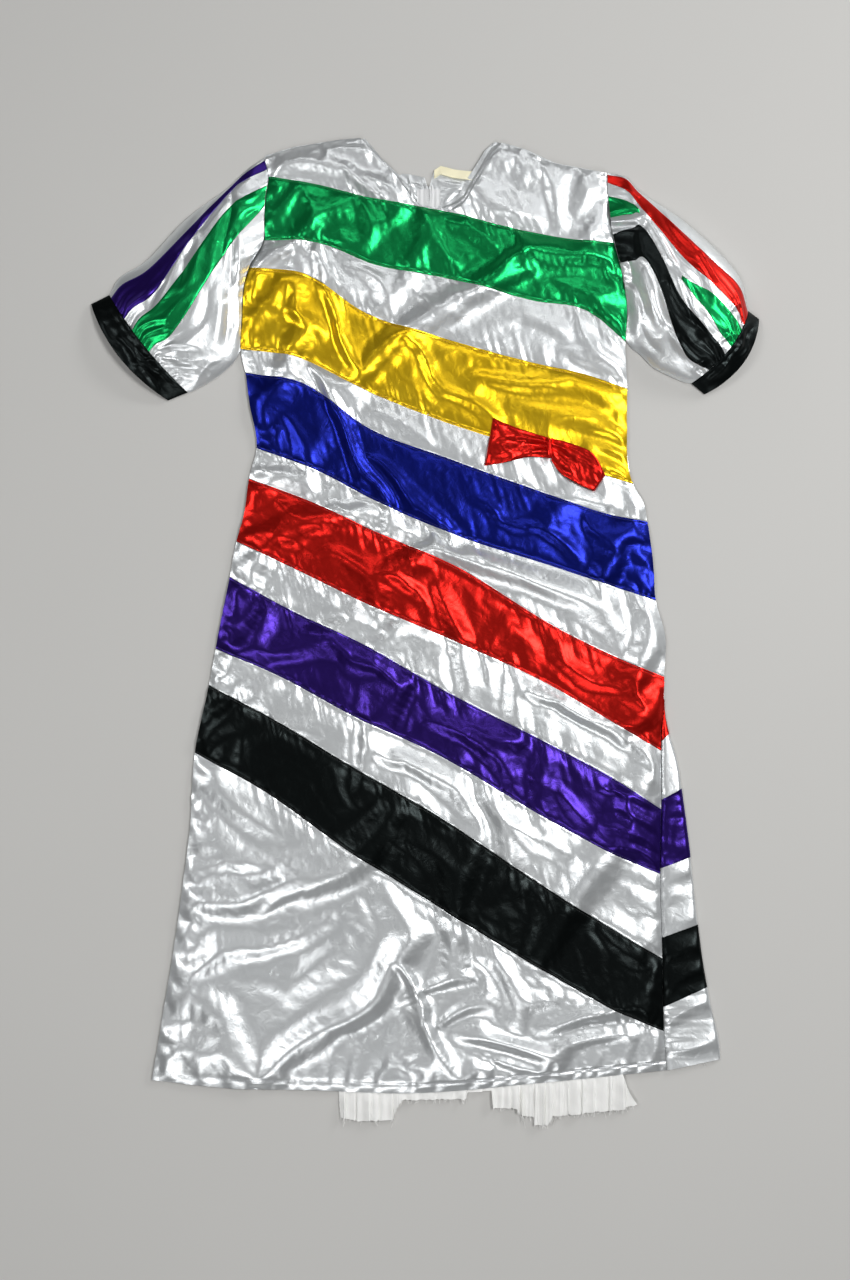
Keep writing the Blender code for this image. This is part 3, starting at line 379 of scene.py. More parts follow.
def hem_height(x):
    """Y of the front's hem at arrays of X."""
    return soft_curve(LINE_AT, FRONT_LINES[0][1], np.clip((x - HEM_LEFT) / HEM_WIDTH, 0, 1))


def front_places(u, line, part):
    """X and Y of the front at fractions across and a fraction of the way up from a line."""
    low = soft_curve(LINE_AT, FRONT_LINES[line][1], u)
    if line + 1 < len(FRONT_LINES):
        high = soft_curve(LINE_AT, FRONT_LINES[line + 1][1], u)
    else:
        left, right = table_curve(SIDE_LEFT, low[0]), table_curve(SIDE_RIGHT, low[-1])
        high = np.maximum(np.interp(left + u * (right - left), *zip(*FRONT_TOP)), low + 2.5)
        high[0], high[-1] = SHOULDER_LEFT, SHOULDER_RIGHT
    y = low + part * (high - low)
    left = table_curve(SIDE_LEFT, y[0])
    right = front_right(y[-1])
    return left + u * (right - left), y


def seam_relief(x, y):
    """Dips and puckers of the front along the edges of all its bands."""
    left, right = table_curve(SIDE_LEFT, y), front_right(y)
    u = np.clip((x - left) / (right - left), 0, 1)
    total = np.zeros_like(x)
    for k, (name, heights, rows) in enumerate(FRONT_LINES[1:]):
        distance = (y - soft_curve(LINE_AT, heights, u)) * 0.9
        total += seam_ripple(distance, x * 1.12 + 0.35 * distance, 40 + k)
        total -= SEAM_DIP * np.exp(-(distance / SEAM_REACH) ** 2)
    return total


# The wrinkles come from a cloth simulation that starts from the folds above. The panel has a
# little more cloth than room, is held along its outline and its seams, and lies on the floor.
SIM_STEP, SIM_COLUMNS, SIM_FRAMES = 5.5, 90, 26      # step between rows, points across, frames
SIM_BASE = 2.0                         # height over the floor from which the cloth starts
SPARE_CLOTH = 0.013                    # how much longer the cloth is than its place
SEAM_HOLD = 0.12                       # how firmly a seam is held, against 1 for the outline
FIELD_STEP = 2.5                       # millimetres between the places of the field of heights
FIELD_X = np.arange(-315, 336, FIELD_STEP)
FIELD_Y = np.arange(-520, 556, FIELD_STEP)
START_FOLDS, ADDED_FOLDS = 0.6, 0.45   # shares of the placed folds before the simulation and after


def finer(values, count, axis):
    """A grid with count times as many steps along an axis, through a smooth curve."""
    size = values.shape[axis]
    place = np.linspace(0, size - 1, (size - 1) * count + 1)
    i = np.clip(place.astype(int), 1, size - 3)
    shape = [-1 if k == axis else 1 for k in range(values.ndim)]
    t = (place - i).reshape(shape)
    a, b, c, d = (np.take(values, i + k, axis=axis) for k in (-1, 0, 1, 2))
    return b + 0.5 * t * (c - a + t * (2 * a - 5 * b + 4 * c - d + t * (3 * (b - c) + d - a)))


def to_field(points):
    """Mean height of points in the squares of the field, with its empty squares filled."""
    total, count = np.zeros((len(FIELD_Y), len(FIELD_X))), np.zeros((len(FIELD_Y), len(FIELD_X)))
    column = np.round((points[..., 0] - FIELD_X[0]) / FIELD_STEP).astype(int)
    row = np.round((points[..., 1] - FIELD_Y[0]) / FIELD_STEP).astype(int)
    np.add.at(total, (row, column), points[..., 2])
    np.add.at(count, (row, column), 1)
    for _ in range(12):
        near_total, near_count = np.zeros_like(total), np.zeros_like(count)
        for shift in ((0, 1), (0, -1), (1, 0), (-1, 0)):
            mean = total / np.maximum(count, 1)
            near_total += np.roll(mean * (count > 0), shift, (0, 1))
            near_count += np.roll((count > 0) * 1.0, shift, (0, 1))
        empty = (count == 0) & (near_count > 0)
        total[empty] = (near_total / np.maximum(near_count, 1))[empty]
        count[empty] = 1
    return total / np.maximum(count, 1)


def from_field(field, x, y):
    """The field's height at arrays of X and Y, through a smooth curve."""
    column = np.clip((x - FIELD_X[0]) / FIELD_STEP, 1, len(FIELD_X) - 3.001)
    row = np.clip((y - FIELD_Y[0]) / FIELD_STEP, 1, len(FIELD_Y) - 3.001)
    j, i = column.astype(int), row.astype(int)
    tx, ty = column - j, row - i

    def weights(t):
        return (-0.5 * t + t**2 - 0.5 * t**3, 1 - 2.5 * t**2 + 1.5 * t**3,
                0.5 * t + 2 * t**2 - 1.5 * t**3, -0.5 * t**2 + 0.5 * t**3)

    total = 0.0
    for k, wy in enumerate(weights(ty)):
        for m, wx in enumerate(weights(tx)):
            total = total + wy * wx * field[i + k - 1, j + m - 1]
    return total


def simulate(field):
    """Heights of the front's cloth after it has buckled, from the starting heights."""
    u = np.linspace(0, 1, SIM_COLUMNS)
    rows, seams = [], []
    for line, (name, heights, count) in enumerate(FRONT_LINES):
        last = line + 1 == len(FRONT_LINES)
        above = SHOULDER_LINE if last else FRONT_LINES[line + 1][1]
        count = max(4, round(float(np.mean(np.subtract(above, heights))) / SIM_STEP))
        for k, part in enumerate(np.linspace(0, 1, count + last, endpoint=last)):
            rows.append(np.stack(front_places(u, line, part), axis=1))
            seams.append(line > 0 and k == 0)
    plan = np.array(rows)
    n, m = plan.shape[:2]
    start = np.dstack([plan, SIM_BASE + from_field(field, plan[..., 0], plan[..., 1])]) * MM
    sheet = bmesh.new()
    bmesh.ops.create_grid(sheet, x_segments=m - 1, y_segments=n - 1, size=0.5)
    mesh = bpy.data.meshes.new("loose_cloth")
    sheet.to_mesh(mesh)
    sheet.free()
    mesh.vertices.foreach_set("co", start.ravel())
    mesh.update()
    cloth = bpy.data.objects.new("loose_cloth", mesh)
    bpy.context.scene.collection.objects.link(cloth)
    place = np.arange(n * m).reshape(n, m)
    held = cloth.vertex_groups.new(name="held")
    rim = np.concatenate([place[0], place[-1], place[:, 0], place[:, -1]])
    for k in np.flatnonzero(seams):
        held.add([int(v) for v in place[k]], SEAM_HOLD, "REPLACE")
    held.add([int(v) for v in rim], 1.0, "REPLACE")
    drape = cloth.modifiers.new("drape", "CLOTH")
    settings = drape.settings
    settings.vertex_group_mass = "held"
    settings.shrink_min = -SPARE_CLOTH
    settings.quality = 5
    settings.mass = 0.1
    settings.tension_stiffness = settings.compression_stiffness = 12.0
    settings.shear_stiffness = 4.0
    settings.bending_stiffness = 6.0
    settings.tension_damping = settings.compression_damping = settings.shear_damping = 5.0
    settings.bending_damping = 0.5
    settings.air_damping = 2.0
    settings.effector_weights.gravity = 0.1
    drape.collision_settings.distance_min = MM
    drape.point_cache.frame_start, drape.point_cache.frame_end = 1, SIM_FRAMES
    floor.modifiers.new("firm", "COLLISION")
    floor.collision.thickness_outer = MM
    for frame_number in range(1, SIM_FRAMES + 1):
        bpy.context.scene.frame_set(frame_number)
    settled = cloth.evaluated_get(bpy.context.evaluated_depsgraph_get())
    places = np.empty(n * m * 3)
    settled.data.vertices.foreach_get("co", places)
    bpy.data.objects.remove(cloth)
    floor.modifiers.clear()
    bpy.context.scene.frame_set(1)
    points = finer(finer(places.reshape(n, m, 3) / MM, 4, 0), 4, 1)
    return to_field(points) - SIM_BASE


field_x, field_y = np.meshgrid(FIELD_X, FIELD_Y)
placed_folds = fold_lift(field_x, field_y, FOLDS)
wrinkles = crumple(field_x, field_y, front_slope, count=200, seed=3, height=0.5)
buckled = simulate(placed_folds * START_FOLDS + wrinkles)
relief_field = buckled + placed_folds * ADDED_FOLDS
fine_wrinkles = crumple(field_x, field_y, front_slope, count=900, seed=9, height=0.42, longest=26.0)
relief_field = relief_field + fine_wrinkles


def front_height(x, y):
    """Z of the front's cloth in millimetres."""
    inside = np.minimum(x - table_curve(SIDE_LEFT, y), front_right(y) - x)
    above_hem = y - hem_height(x)
    inside = np.minimum(inside, above_hem + 0.5)
    top = np.interp(x, *zip(*FRONT_TOP))
    inside = np.clip(np.minimum(inside, (top - y) * TOP_CURVE), 0, None)
    rise = 1 - np.exp(-inside / EDGE_REACH * EDGE_CURVE)
    relief = from_field(relief_field, x, y) + seam_relief(x, y)
    relief = relief - HEM_GROOVE * np.exp(-((above_hem - HEM_INSET) / HEM_SOFT) ** 2)
    neck_groove = HEM_GROOVE * np.exp(-((top - y - NECK_INSET) / NECK_SOFT) ** 2)
    relief = relief - neck_groove * (np.abs(x) < NECK_REACH)
    on_top = np.where(y < SEAM_TOP, front_right(y) - x, 50)
    relief = relief - SEAM_GROOVE * np.exp(-np.clip(on_top, 0, None) / 1.5)
    height = EDGE_HEIGHT + rise * (BODY_HEIGHT - EDGE_HEIGHT)
    height = height + relief * (EDGE_RELIEF + (1 - EDGE_RELIEF) * rise)
    flattened = LOW_LIMIT - LOW_ROOM * np.tanh((LOW_LIMIT - height) / LOW_ROOM)
    return np.where(height > LOW_LIMIT, height, flattened)


def cloth_piece(name, points, material, flip=False):
    """A cloth piece from rows and columns of points in the tables' millimetres."""
    points = np.array(points, float)
    rows, columns = points.shape[:2]
    points[..., :2] -= CENTRE
    cloth = bmesh.new()
    cloth.loops.layers.uv.new("cloth")
    bmesh.ops.create_grid(cloth, x_segments=columns - 1, y_segments=rows - 1, size=0.5,
                          calc_uvs=True)
    if flip:
        bmesh.ops.reverse_faces(cloth, faces=list(cloth.faces))
    mesh = bpy.data.meshes.new(name)
    cloth.to_mesh(mesh)
    cloth.free()
    mesh.vertices.foreach_set("co", (points * MM).ravel())
    mesh.polygons.foreach_set("use_smooth", [True] * len(mesh.polygons))
    mesh.materials.append(material)
    mesh.update()
    piece = bpy.data.objects.new(name, mesh)
    bpy.context.scene.collection.objects.link(piece)
    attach(piece, "root")
    return piece


def close_tube(piece):
    """Merges the first and last column of a piece that goes all the way round."""
    tube = bmesh.new()
    tube.from_mesh(piece.data)
    bmesh.ops.remove_doubles(tube, verts=list(tube.verts), dist=1e-6)
    tube.to_mesh(piece.data)
    tube.free()


def make_satin(name, colour, deep, roughness=0.31, metallic=0.88):
    """Polyester satin: its long bright floats tint their own highlights, as a metal does."""
    material, tree, output = new_material(name)
    place = add_node(tree, "TexCoord")
    cloud = add_node(tree, "TexNoise", inputs={"Scale": 26.0, "Detail": 3.0, "Roughness": 0.6},
                     links={"Vector": place.outputs["Object"]})
    tone = add_node(tree, "MixRGB", inputs={"Color1": linear(deep), "Color2": linear(colour)},
                    links={"Fac": cloud.outputs["Fac"]})
    grain = add_node(tree, "TexNoise", inputs={"Scale": 900.0, "Detail": 2.0},
                     links={"Vector": place.outputs["Object"]})
    swell = add_node(tree, "TexNoise", inputs={"Scale": 90.0, "Detail": 3.0, "Distortion": 0.8},
                     links={"Vector": place.outputs["Object"]})
    fine = add_node(tree, "Bump", inputs={"Strength": 0.10, "Distance": 0.0002},
                    links={"Height": grain.outputs["Fac"]})
    soft = add_node(tree, "Bump", inputs={"Strength": 0.30, "Distance": 0.0014},
                    links={"Height": swell.outputs["Fac"], "Normal": fine.outputs["Normal"]})
    shader = add_node(tree, "BsdfPrincipled",
                      inputs={"Roughness": roughness, "Metallic": metallic,
                              "Specular IOR Level": 0.5},
                      links={"Base Color": tone.outputs["Color"],
                             "Normal": soft.outputs["Normal"]})
    tree.links.new(shader.outputs["BSDF"], output.inputs["Surface"])
    return material


white_satin = make_satin("white_polyester_satin", "#EFF2F3", "#E2E6E8", 0.36, 0.80)
across = np.linspace(0, 1, FRONT_COLUMNS)
front_rows = []
for line, (name, heights, count) in enumerate(FRONT_LINES):
    hidden = name.endswith("_low")
    last = line + 1 == len(FRONT_LINES)
    parts = UNDER_BAND if hidden else np.linspace(0, 1, count, endpoint=last)
    for part in parts:
        x, y = front_places(across, line, part)
        front_rows.append((x, y, hidden * min(part, 1 - part)))
grid_x = np.array([row[0] for row in front_rows])
grid_y = np.array([row[1] for row in front_rows])
grid_z = front_height(grid_x, grid_y)
for k, row in enumerate(front_rows):
    if row[2] > UNDER_BAND[1] * 1.5:
        grid_z[k] = HIDDEN_HEIGHT
    elif row[2] > 0:
        grid_z[k] -= HIDDEN_DROP
front = cloth_piece("front_panel", np.dstack([grid_x, grid_y, grid_z]), white_satin)
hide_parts("front")

# Six bands of satin in six colours lie across the front, about 75 mm deep, sewn down along both
# edges with a topstitch. The stitching draws the cloth in, so the middle of a band stands proud.
BAND_DYES = {            # colour in the light, and a deeper one
    "green": ("#1CB062", "#049048"), "yellow": ("#FFD82C", "#FFCC12"),
    "blue": ("#16249C", "#0E176C"), "red": ("#E4241A", "#C41812"),
    "purple": ("#3E248C", "#2C1866"), "black": ("#1A2020", "#121616"),
}
BAND_DEPTH = 74.0
EDGE_STEPS = (0.0, 0.7, 1.5, 2.3, 3.1, 4.2)       # rows of a band next to its edges
STITCH_INSET, STITCH_GROOVE = 2.3, 0.5


def band_rows():
    """Distances from a band's lower edge at which it has a row of mesh."""
    inner = np.linspace(EDGE_STEPS[-1], BAND_DEPTH - EDGE_STEPS[-1], 36)[1:-1]
    return np.concatenate([EDGE_STEPS, inner, BAND_DEPTH - np.array(EDGE_STEPS)[::-1]])


def band_profile(rows, depth=BAND_DEPTH):
    """How far a band stands over the cloth under it, from its folded edge to its middle."""
    near = np.minimum(rows, depth - rows)
    lift = -0.35 + 0.95 * (1 - np.exp(-near / 0.5))
    lift += 0.5 * (1 - np.exp(-np.maximum(near - STITCH_INSET, 0) / 6))
    return lift - STITCH_GROOVE * np.exp(-((near - STITCH_INSET) / 0.8) ** 2)


dyed = {name: make_satin(name + "_polyester_satin", *tones) for name, tones in BAND_DYES.items()}
line_names = [row[0] for row in FRONT_LINES]
bands = {}
for name in BAND_DYES:
    line = line_names.index(name + "_low")
    places = [np.stack(front_places(across, line, part), axis=1)
              for part in band_rows() / BAND_DEPTH]
    places = np.array(places)
    z = front_height(places[..., 0], places[..., 1]) + band_profile(band_rows())[:, None]
    band = cloth_piece("band_" + name + "_satin", np.dstack([places, z]), dyed[name])
    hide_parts("band_" + name)
    bands[name] = band

# The back is two panels of the same satin, lying face down, with the zip between them. Its
# bands meet the front's at the side seams. Below the right hip the back is turned over the
# edge, so the side seam lies on top and the ends of the purple and black bands show.
BACK_LINES = (           # name, Y at the left side, at the centre back and at the right edge
    ("hem", (-489, -500, -469)), ("black_low", (-132.6, -275, -390)),
    ("black_up", (-57.8, -190, -321.2)), ("purple_low", (-18.2, -125, -247.3)),
    ("purple_up", (61, -45, -171.9)), ("red_low", (99.6, 0, -112)),
    ("red_up", (168.9, 78, -49)), ("blue_low", (201.9, 112, 34.7)),
    ("blue_up", (285.5, 196, 121.6)), ("yellow_low", (310.8, 236, 162.3)),
    ("yellow_up", (401, 325, 267.9)), ("green_low", (430.7, 386, 319.6)),
    ("green_up", (501, 462, 428.5)),
)
BACK_TOP = (             # X, Y along shoulder, back neck and shoulder
    (-180, 521), (-138.6, 533.6), (-90, 541), (-67.1, 542.9), (-48, 520), (-28.6, 502),
    (-26.0, 504.5), (-18, 503.6), (-1.2, 500), (1.4, 490), (3.8, 490), (9, 508),
    (16.3, 512.8), (31, 508.8), (57, 505.8), (68, 516), (82.2, 538.9), (110, 531),
    (141.9, 516), (199, 505),
)
TURN = (                 # Y at the fold, Y at the seam of the turned part
    (-469, -481.3), (-390, -411.7), (-321.2, -335.4), (-247.3, -259.4), (-171.9, -183.9),
    (-112, -120), (-90, -93), (-75, -75),
)
BACK_NECK_FOLDS = (      # folds of the back inside the neck, as in the front's table
    ((401, 178), (412, 197), 2, 2.5, 1.7), ((409, 177), (414, 190), -1, 2, 1.5),
    ((413, 184), (426, 194), 2, 2, 1.6), ((414, 192), (428, 205), -2, 2.5, 1.6),
    ((424, 180), (427, 196), 1, 2, 1.1), ((431, 192), (431.5, 208), 0, 1.5, 1.4),
    ((436, 190), (436, 208), 0, 1.5, 1.3), ((441, 182), (468, 184), -2, 3, 1.3),
    ((440, 192), (464, 190), 2, 3, 1.3), ((446, 201), (463, 188), 2, 2.5, 1.2),
)
CENTRE_BACK = 3.0                      # X of the seam with the zip
BACK_HEIGHT, TURN_HEIGHT = 0.6, 4.0    # height of the back, flat and where it is turned over
TURN_SINK, TURN_SOFT = 2.4, 1.8        # how far it sinks to the seam, over what width
FOLD_OUT, FOLD_TOP, FOLD_SOFT = 0.5, 2.6, 1.6    # how far the fold stands out, its top, its width
FOLD_SIDE = (1.2, 2.0)                 # heights of two points on the side of the fold
BACK_SEAM = 0.8                        # how far the centre back seam is drawn in
BACK_COLUMNS, BACK_CROWD = 96, 1.3     # columns of a half, which crowd towards the centre back
LOWEST = 0.05                          # the cloth lies this far over the floor
TURN_STEPS = (0.004, 0.02, *np.linspace(0.06, 1, 14))    # fractions from the fold to the seam
TURN_FOLDS = (           # folds of the turned part, as in the front's table
    ((664, 797), (684, 790), 3, 3, 1.8), ((665, 806), (686, 801), 3, 3, 1.9),
    ((665, 815), (687, 812), 3, 3, 2.1), ((665, 824), (688, 822), -3, 3, 1.9),
    ((665, 833), (688, 832), -3, 3, 2.0), ((665, 842), (689, 842), -3, 3, 1.8),
    ((665, 851), (689, 850), -3, 3, 1.6), ((666, 880), (694, 868), 2, 6, 1.8),
    ((666, 900), (680, 893), 2, 4, 1.6), ((668, 925), (698, 911), -3, 7, 1.8),
    ((667, 955), (702, 944), 2, 7, 1.7), ((668, 985), (704, 966), 2, 6, 1.7),
    ((668, 1020), (712, 1000), 3, 8, 1.9), ((672, 1050), (716, 1038), -3, 7, 1.7),
)


def back_places(u, half, line, part):
    """X and Y of a half of the back. Fractions u run from left to right of that half."""
    ends = [row[1][0 if half == "left" else 2] for row in BACK_LINES]
    ends.append(SHOULDER_LEFT if half == "left" else SHOULDER_RIGHT)
    y_side = ends[line] + part * (ends[line + 1] - ends[line])
    if half == "left":
        x_low, x_high = float(table_curve(SIDE_LEFT, y_side)), CENTRE_BACK - 0.15
    else:
        x_low, x_high = CENTRE_BACK + 0.15, float(table_curve(SIDE_RIGHT, y_side))
    x = x_low + u * (x_high - x_low)

    def line_y(k):
        left, middle, right = BACK_LINES[k][1]
        corners = (table_curve(SIDE_LEFT, left), CENTRE_BACK, table_curve(SIDE_RIGHT, right))
        return np.interp(x, corners, (left, middle, right))

    low = line_y(line)
    if line + 1 < len(BACK_LINES):
        high = line_y(line + 1)
    else:
        high = np.maximum(np.interp(x, *zip(*BACK_TOP)), low + 3)
    return x, low + part * (high - low)


def back_relief(x, y):
    """Soft wrinkles of the back's cloth."""
    relief = crumple(x, y, front_slope, 190, 23, 1.3, 70.0)
    return np.minimum(relief, 1.1) + fold_lift(x, y, BACK_NECK_FOLDS)


def turned_height(x, y):
    """Z of the part of the back that is turned over onto the top."""
    away = np.clip(x - table_curve(SEAM_RIGHT, y), 0, None)
    relief = fold_lift(x, y, TURN_FOLDS) * 1.5 + 2.0 * seam_ripple(away, y * 1.2, 61, 24, 0.6)
    rise = 1 - np.exp(-away / TURN_SOFT)
    return TURN_HEIGHT - TURN_SINK * (1 - rise) + relief * (0.2 + 0.8 * rise)


def right_row(x, y, z, offset):
    """A row of the right back, with its turned part, pushed outwards by an offset."""
    x_fold, y_fold = x[-1], y[-1]
    flat = np.stack([x, y, np.maximum(z - offset, LOWEST)], axis=1)
    if y_fold > TURN_TOP:
        return np.concatenate([flat, [(x_fold, y_fold, z[-1])] * (len(TURN_STEPS) + 2)])
    y_seam = float(table_curve(TURN, y_fold))
    x_seam = float(front_right(np.array(y_seam))) + SEAM_GAP
    t = np.array(TURN_STEPS)
    top_x, top_y = x_fold + t * (x_seam - x_fold), y_fold + t * (y_seam - y_fold)
    top_z = turned_height(top_x, top_y)
    top_z -= (top_z - FOLD_TOP) * np.exp(-t * (x_fold - x_seam) / FOLD_SOFT)
    side = [(x_fold + FOLD_OUT + offset, y_fold, tall) for tall in FOLD_SIDE]
    top = np.stack([top_x, top_y, top_z + offset], axis=1)
    return np.concatenate([flat, side, top])


def back_grid(half, first, last, counts, offset=0.0):
    """Rows of points of a half of the back between two of its lines."""
    t = np.linspace(0, 1, BACK_COLUMNS)
    u = 1 - (1 - t) ** BACK_CROWD if half == "left" else t ** BACK_CROWD
    plan = []
    for line in range(first, last):
        end = line + 1 == last
        for part in np.linspace(0, 1, counts[line - first] + end, endpoint=end):
            plan.append(back_places(u, half, line, part))
    x, y = np.array([row[0] for row in plan]), np.array([row[1] for row in plan])
    side = u if half == "left" else 1 - u
    z = BACK_HEIGHT + np.maximum(back_relief(x, y), -0.2) * soft_step(side, 0, 0.08)
    z += BACK_SEAM * np.exp(-np.abs(x - CENTRE_BACK) / 1.2)
    if half == "left":
        return np.dstack([x, y, np.maximum(z - offset, LOWEST)])
    return np.array([right_row(*row, offset) for row in zip(x, y, z)])


BACK_ROWS = (80, 16, 12, 16, 10, 16, 10, 16, 8, 16, 10, 16, 40)
for half in ("left", "right"):
    grid = back_grid(half, 0, len(BACK_LINES), BACK_ROWS)
    back = cloth_piece("back_" + half + "_panel", grid, white_satin, flip=True)
    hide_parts("back_" + half)

BACK_BANDS = ("black", "purple", "red", "blue", "yellow", "green")
BAND_UNDER = 0.35                      # how far a band lies outside the back's own cloth
for k, name in enumerate(BACK_BANDS):
    counts = (BACK_ROWS[2 * k + 1],)
    left = back_grid("left", 2 * k + 1, 2 * k + 2, counts, BAND_UNDER)
    right = back_grid("right", 2 * k + 1, 2 * k + 2, counts, BAND_UNDER)
    strip = cloth_piece("back_band_" + name, np.concatenate([left, right], axis=1),
                        dyed[name], flip=True)
    if name in ("black", "purple"):
        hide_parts("turn_" + name)

# A short nylon zip closes the back. Its tapes end in two small tails that stand up in the
# notch of the back neck. Beside it a cream strip of plain cotton faces the right back neck.
ZIP_WIDTH, ZIP_LENGTH, ZIP_TOP = 26.0, 420.0, 489.0
ZIP_HEIGHT, TOOTH_HEIGHT, TOOTH_SIDE = 2.3, 2.85, 0.55       # the last is a tooth's shift in X
ZIP_TAILS = ((3.7, 5.5, 5.4), (6.1, 8.0, 3.8))    # low and high X and height of each tail
TOOTH_PITCH, TOOTH_SIZE = 2.0, (2.2, 1.0, 0.7)
FACING_DEPTH = 10.0


def keep_bits(bits, name, material):
    """One piece from many small bits, modelled in the tables' millimetres."""
    bmesh.ops.scale(bits, vec=(MM, MM, MM), verts=list(bits.verts))
    mesh = bpy.data.meshes.new(name)
    bits.to_mesh(mesh)
    bits.free()
    mesh.materials.append(material)
    piece = bpy.data.objects.new(name, mesh)
    bpy.context.scene.collection.objects.link(piece)
    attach(piece, "root")


def make_plain(name, colour, deep, thread_mm=0.6, roughness=0.8, depth=0.3):
    """Plain-woven cloth: a fine even grid of matt threads."""
    material, tree, output = new_material(name)
    place = add_node(tree, "TexCoord")
    cloud = add_node(tree, "TexNoise", inputs={"Scale": 60.0, "Detail": 4.0},
                     links={"Vector": place.outputs["Object"]})
    tone = add_node(tree, "MixRGB", inputs={"Color1": linear(deep), "Color2": linear(colour)},
                    links={"Fac": cloud.outputs["Fac"]})
    waves = [add_node(tree, "TexWave", settings={"bands_direction": axis},
                      inputs={"Scale": 0.314 / (thread_mm * MM), "Distortion": 0.4},
                      links={"Vector": place.outputs["Object"]}) for axis in "XY"]
    weave = add_node(tree, "MixRGB", inputs={"Fac": 0.5},
                     links={"Color1": waves[0].outputs["Color"],
                            "Color2": waves[1].outputs["Color"]})
    bump = add_node(tree, "Bump", inputs={"Strength": depth, "Distance": 0.0003},
                    links={"Height": weave.outputs["Color"]})
    shader = add_node(tree, "BsdfPrincipled",
                      inputs={"Roughness": roughness, "Sheen Weight": 0.2},
                      links={"Base Color": tone.outputs["Color"],
                             "Normal": bump.outputs["Normal"]})
    tree.links.new(shader.outputs["BSDF"], output.inputs["Surface"])
    return material


zip_tape = make_plain("white_nylon_tape", "#ECEDEE", "#DEDFE0", 0.8, 0.6)
tape_x = CENTRE_BACK + np.linspace(1, -1, 67) * ZIP_WIDTH / 2
tails = np.zeros_like(tape_x)
for low_x, high_x, tall in ZIP_TAILS:
    tails += tall * soft_step(tape_x, low_x, low_x + 0.4) * soft_step(-tape_x, -high_x, 0.4 - high_x)
tape_top = ZIP_TOP - 1.5 - 0.1 * np.abs(tape_x - CENTRE_BACK)
tape_rows = []
for part in np.linspace(0, 1, 90) ** 1.6:
    y = tape_top + part * (ZIP_TOP - ZIP_LENGTH - tape_top) + tails * (1 - soft_step(part, 0, 0.02))
    z = ZIP_HEIGHT + 0.45 * tails * (1 - soft_step(part, 0, 0.05)) + 0.3 * np.cos(tape_x * 1.1)
    tape_rows.append(np.stack([tape_x, y, z], axis=1))
tape = cloth_piece("zip_tapes", tape_rows, zip_tape)
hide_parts("zip")

coil = bmesh.new()
for k in range(int((ZIP_LENGTH - 8) / TOOTH_PITCH)):
    x = CENTRE_BACK - CENTRE[0] + (TOOTH_SIDE if k % 2 else -TOOTH_SIDE)
    place = (x, ZIP_TOP - CENTRE[1] - 6 - k * TOOTH_PITCH, TOOTH_HEIGHT)
    tooth = Matrix.Translation(place) @ Matrix.Diagonal((*TOOTH_SIZE, 1.0))
    bmesh.ops.create_cube(coil, size=1.0, matrix=tooth)
keep_bits(coil, "zip_coil", zip_tape)

cream = make_plain("cream_cotton_facing", "#FFFAE0", "#F8F0C4", 0.7)
facing_x = np.linspace(CENTRE_BACK + ZIP_WIDTH / 2 - 7, 62, 60)
facing_y = np.interp(facing_x, *zip(*BACK_TOP))
facing_rows = []
for drop in np.linspace(FACING_DEPTH, 0.2, 14):
    curl = 1.5 * math.exp(-(FACING_DEPTH - drop) / 1.5)
    z = 2.0 + 0.35 * np.sin(facing_x / 3.5 + drop / 4) + curl
    facing_rows.append(np.stack([facing_x, facing_y - drop, z], axis=1))
facing = cloth_piece("back_neck_facing", facing_rows, cream)
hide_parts("neck_facing")

# The sleeves are short, cut full and gathered into cuffs, so that they stand up as two soft
# tubes. Strips of coloured satin run down them from the shoulder, and deep folds hide parts.
SLEEVES = {              # X, Y of the upper end, X, Y of the lower end, bow, height, strips' edges
    "left": (
        (-177.7, 520.9, -203.5, 309.7, 0, 5.0, 0.012, 0.06, 0.14, 0.25),
        (-198.0, 507.0, -209.0, 300.0, 4, 13.0, 0.012, 0.05, 0.14, 0.33),
        (-216.7, 489.0, -216.7, 291.0, 7, 19.0, 0.012, 0.05, 0.15, 0.41),
        (-264.0, 453.8, -231.0, 279.0, 8, 23.0, 0.09, 0.185, 0.30, 0.54),
        (-306.9, 408.7, -246.4, 270.0, 8, 21.0, 0.075, 0.26, 0.34, 0.59),
        (-336.0, 390.0, -256.0, 265.0, 6, 17.0, 0.06, 0.26, 0.35, 0.58),
        (-347.8, 370.7, -261.8, 263.5, 5, 15.5, 0.03, 0.24, 0.35, 0.57),
    ),
    "right": (
        (198.6, 504.9, 218.9, 320.7, 0, 5.0, 0.012, 0.06, 0.14, 0.27, 0.37, 0.54),
        (219.3, 500.0, 226.0, 312.0, 4, 15.0, 0.012, 0.09, 0.15, 0.23, 0.31, 0.50),
        (235.4, 483.5, 235.4, 305.3, 6, 22.0, 0.015, 0.125, 0.16, 0.18, 0.25, 0.45),
        (279.4, 454.9, 249.7, 291.0, 8, 30.0, 0.10, 0.265, 0.385, 0.41, 0.50, 0.695),
        (317.9, 421.3, 268.4, 281.1, 9, 32.0, 0.12, 0.28, 0.35, 0.48, 0.58, 0.83),
        (344.6, 389.4, 283.0, 275.0, 9, 29.0, 0.08, 0.26, 0.33, 0.53, 0.60, 0.84),
        (354.0, 353.3, 291.3, 273.4, 9, 25.0, 0.02, 0.18, 0.24, 0.47, 0.57, 0.80),
    ),
}
SLEEVE_STRIPS = {        # colour and width of each strip, in metres
    "left": (("purple", 0.021), ("green", 0.038)),
    "right": (("red", 0.026), ("green", 0.0145), ("black", 0.029)),
}
SLEEVE_DOME = 0.72                     # how full the tubes are, from 0.5, round, to 1, pointed
UNDER_DROP, UNDER_DOME = 1.6, 0.3      # how far the underside lies below the edge; how flat it is
ARMHOLES = {"left": (SIDE_LEFT, SHOULDER_LEFT, 309.7, -1),
            "right": (SIDE_RIGHT, SHOULDER_RIGHT, 320.7, 1)}
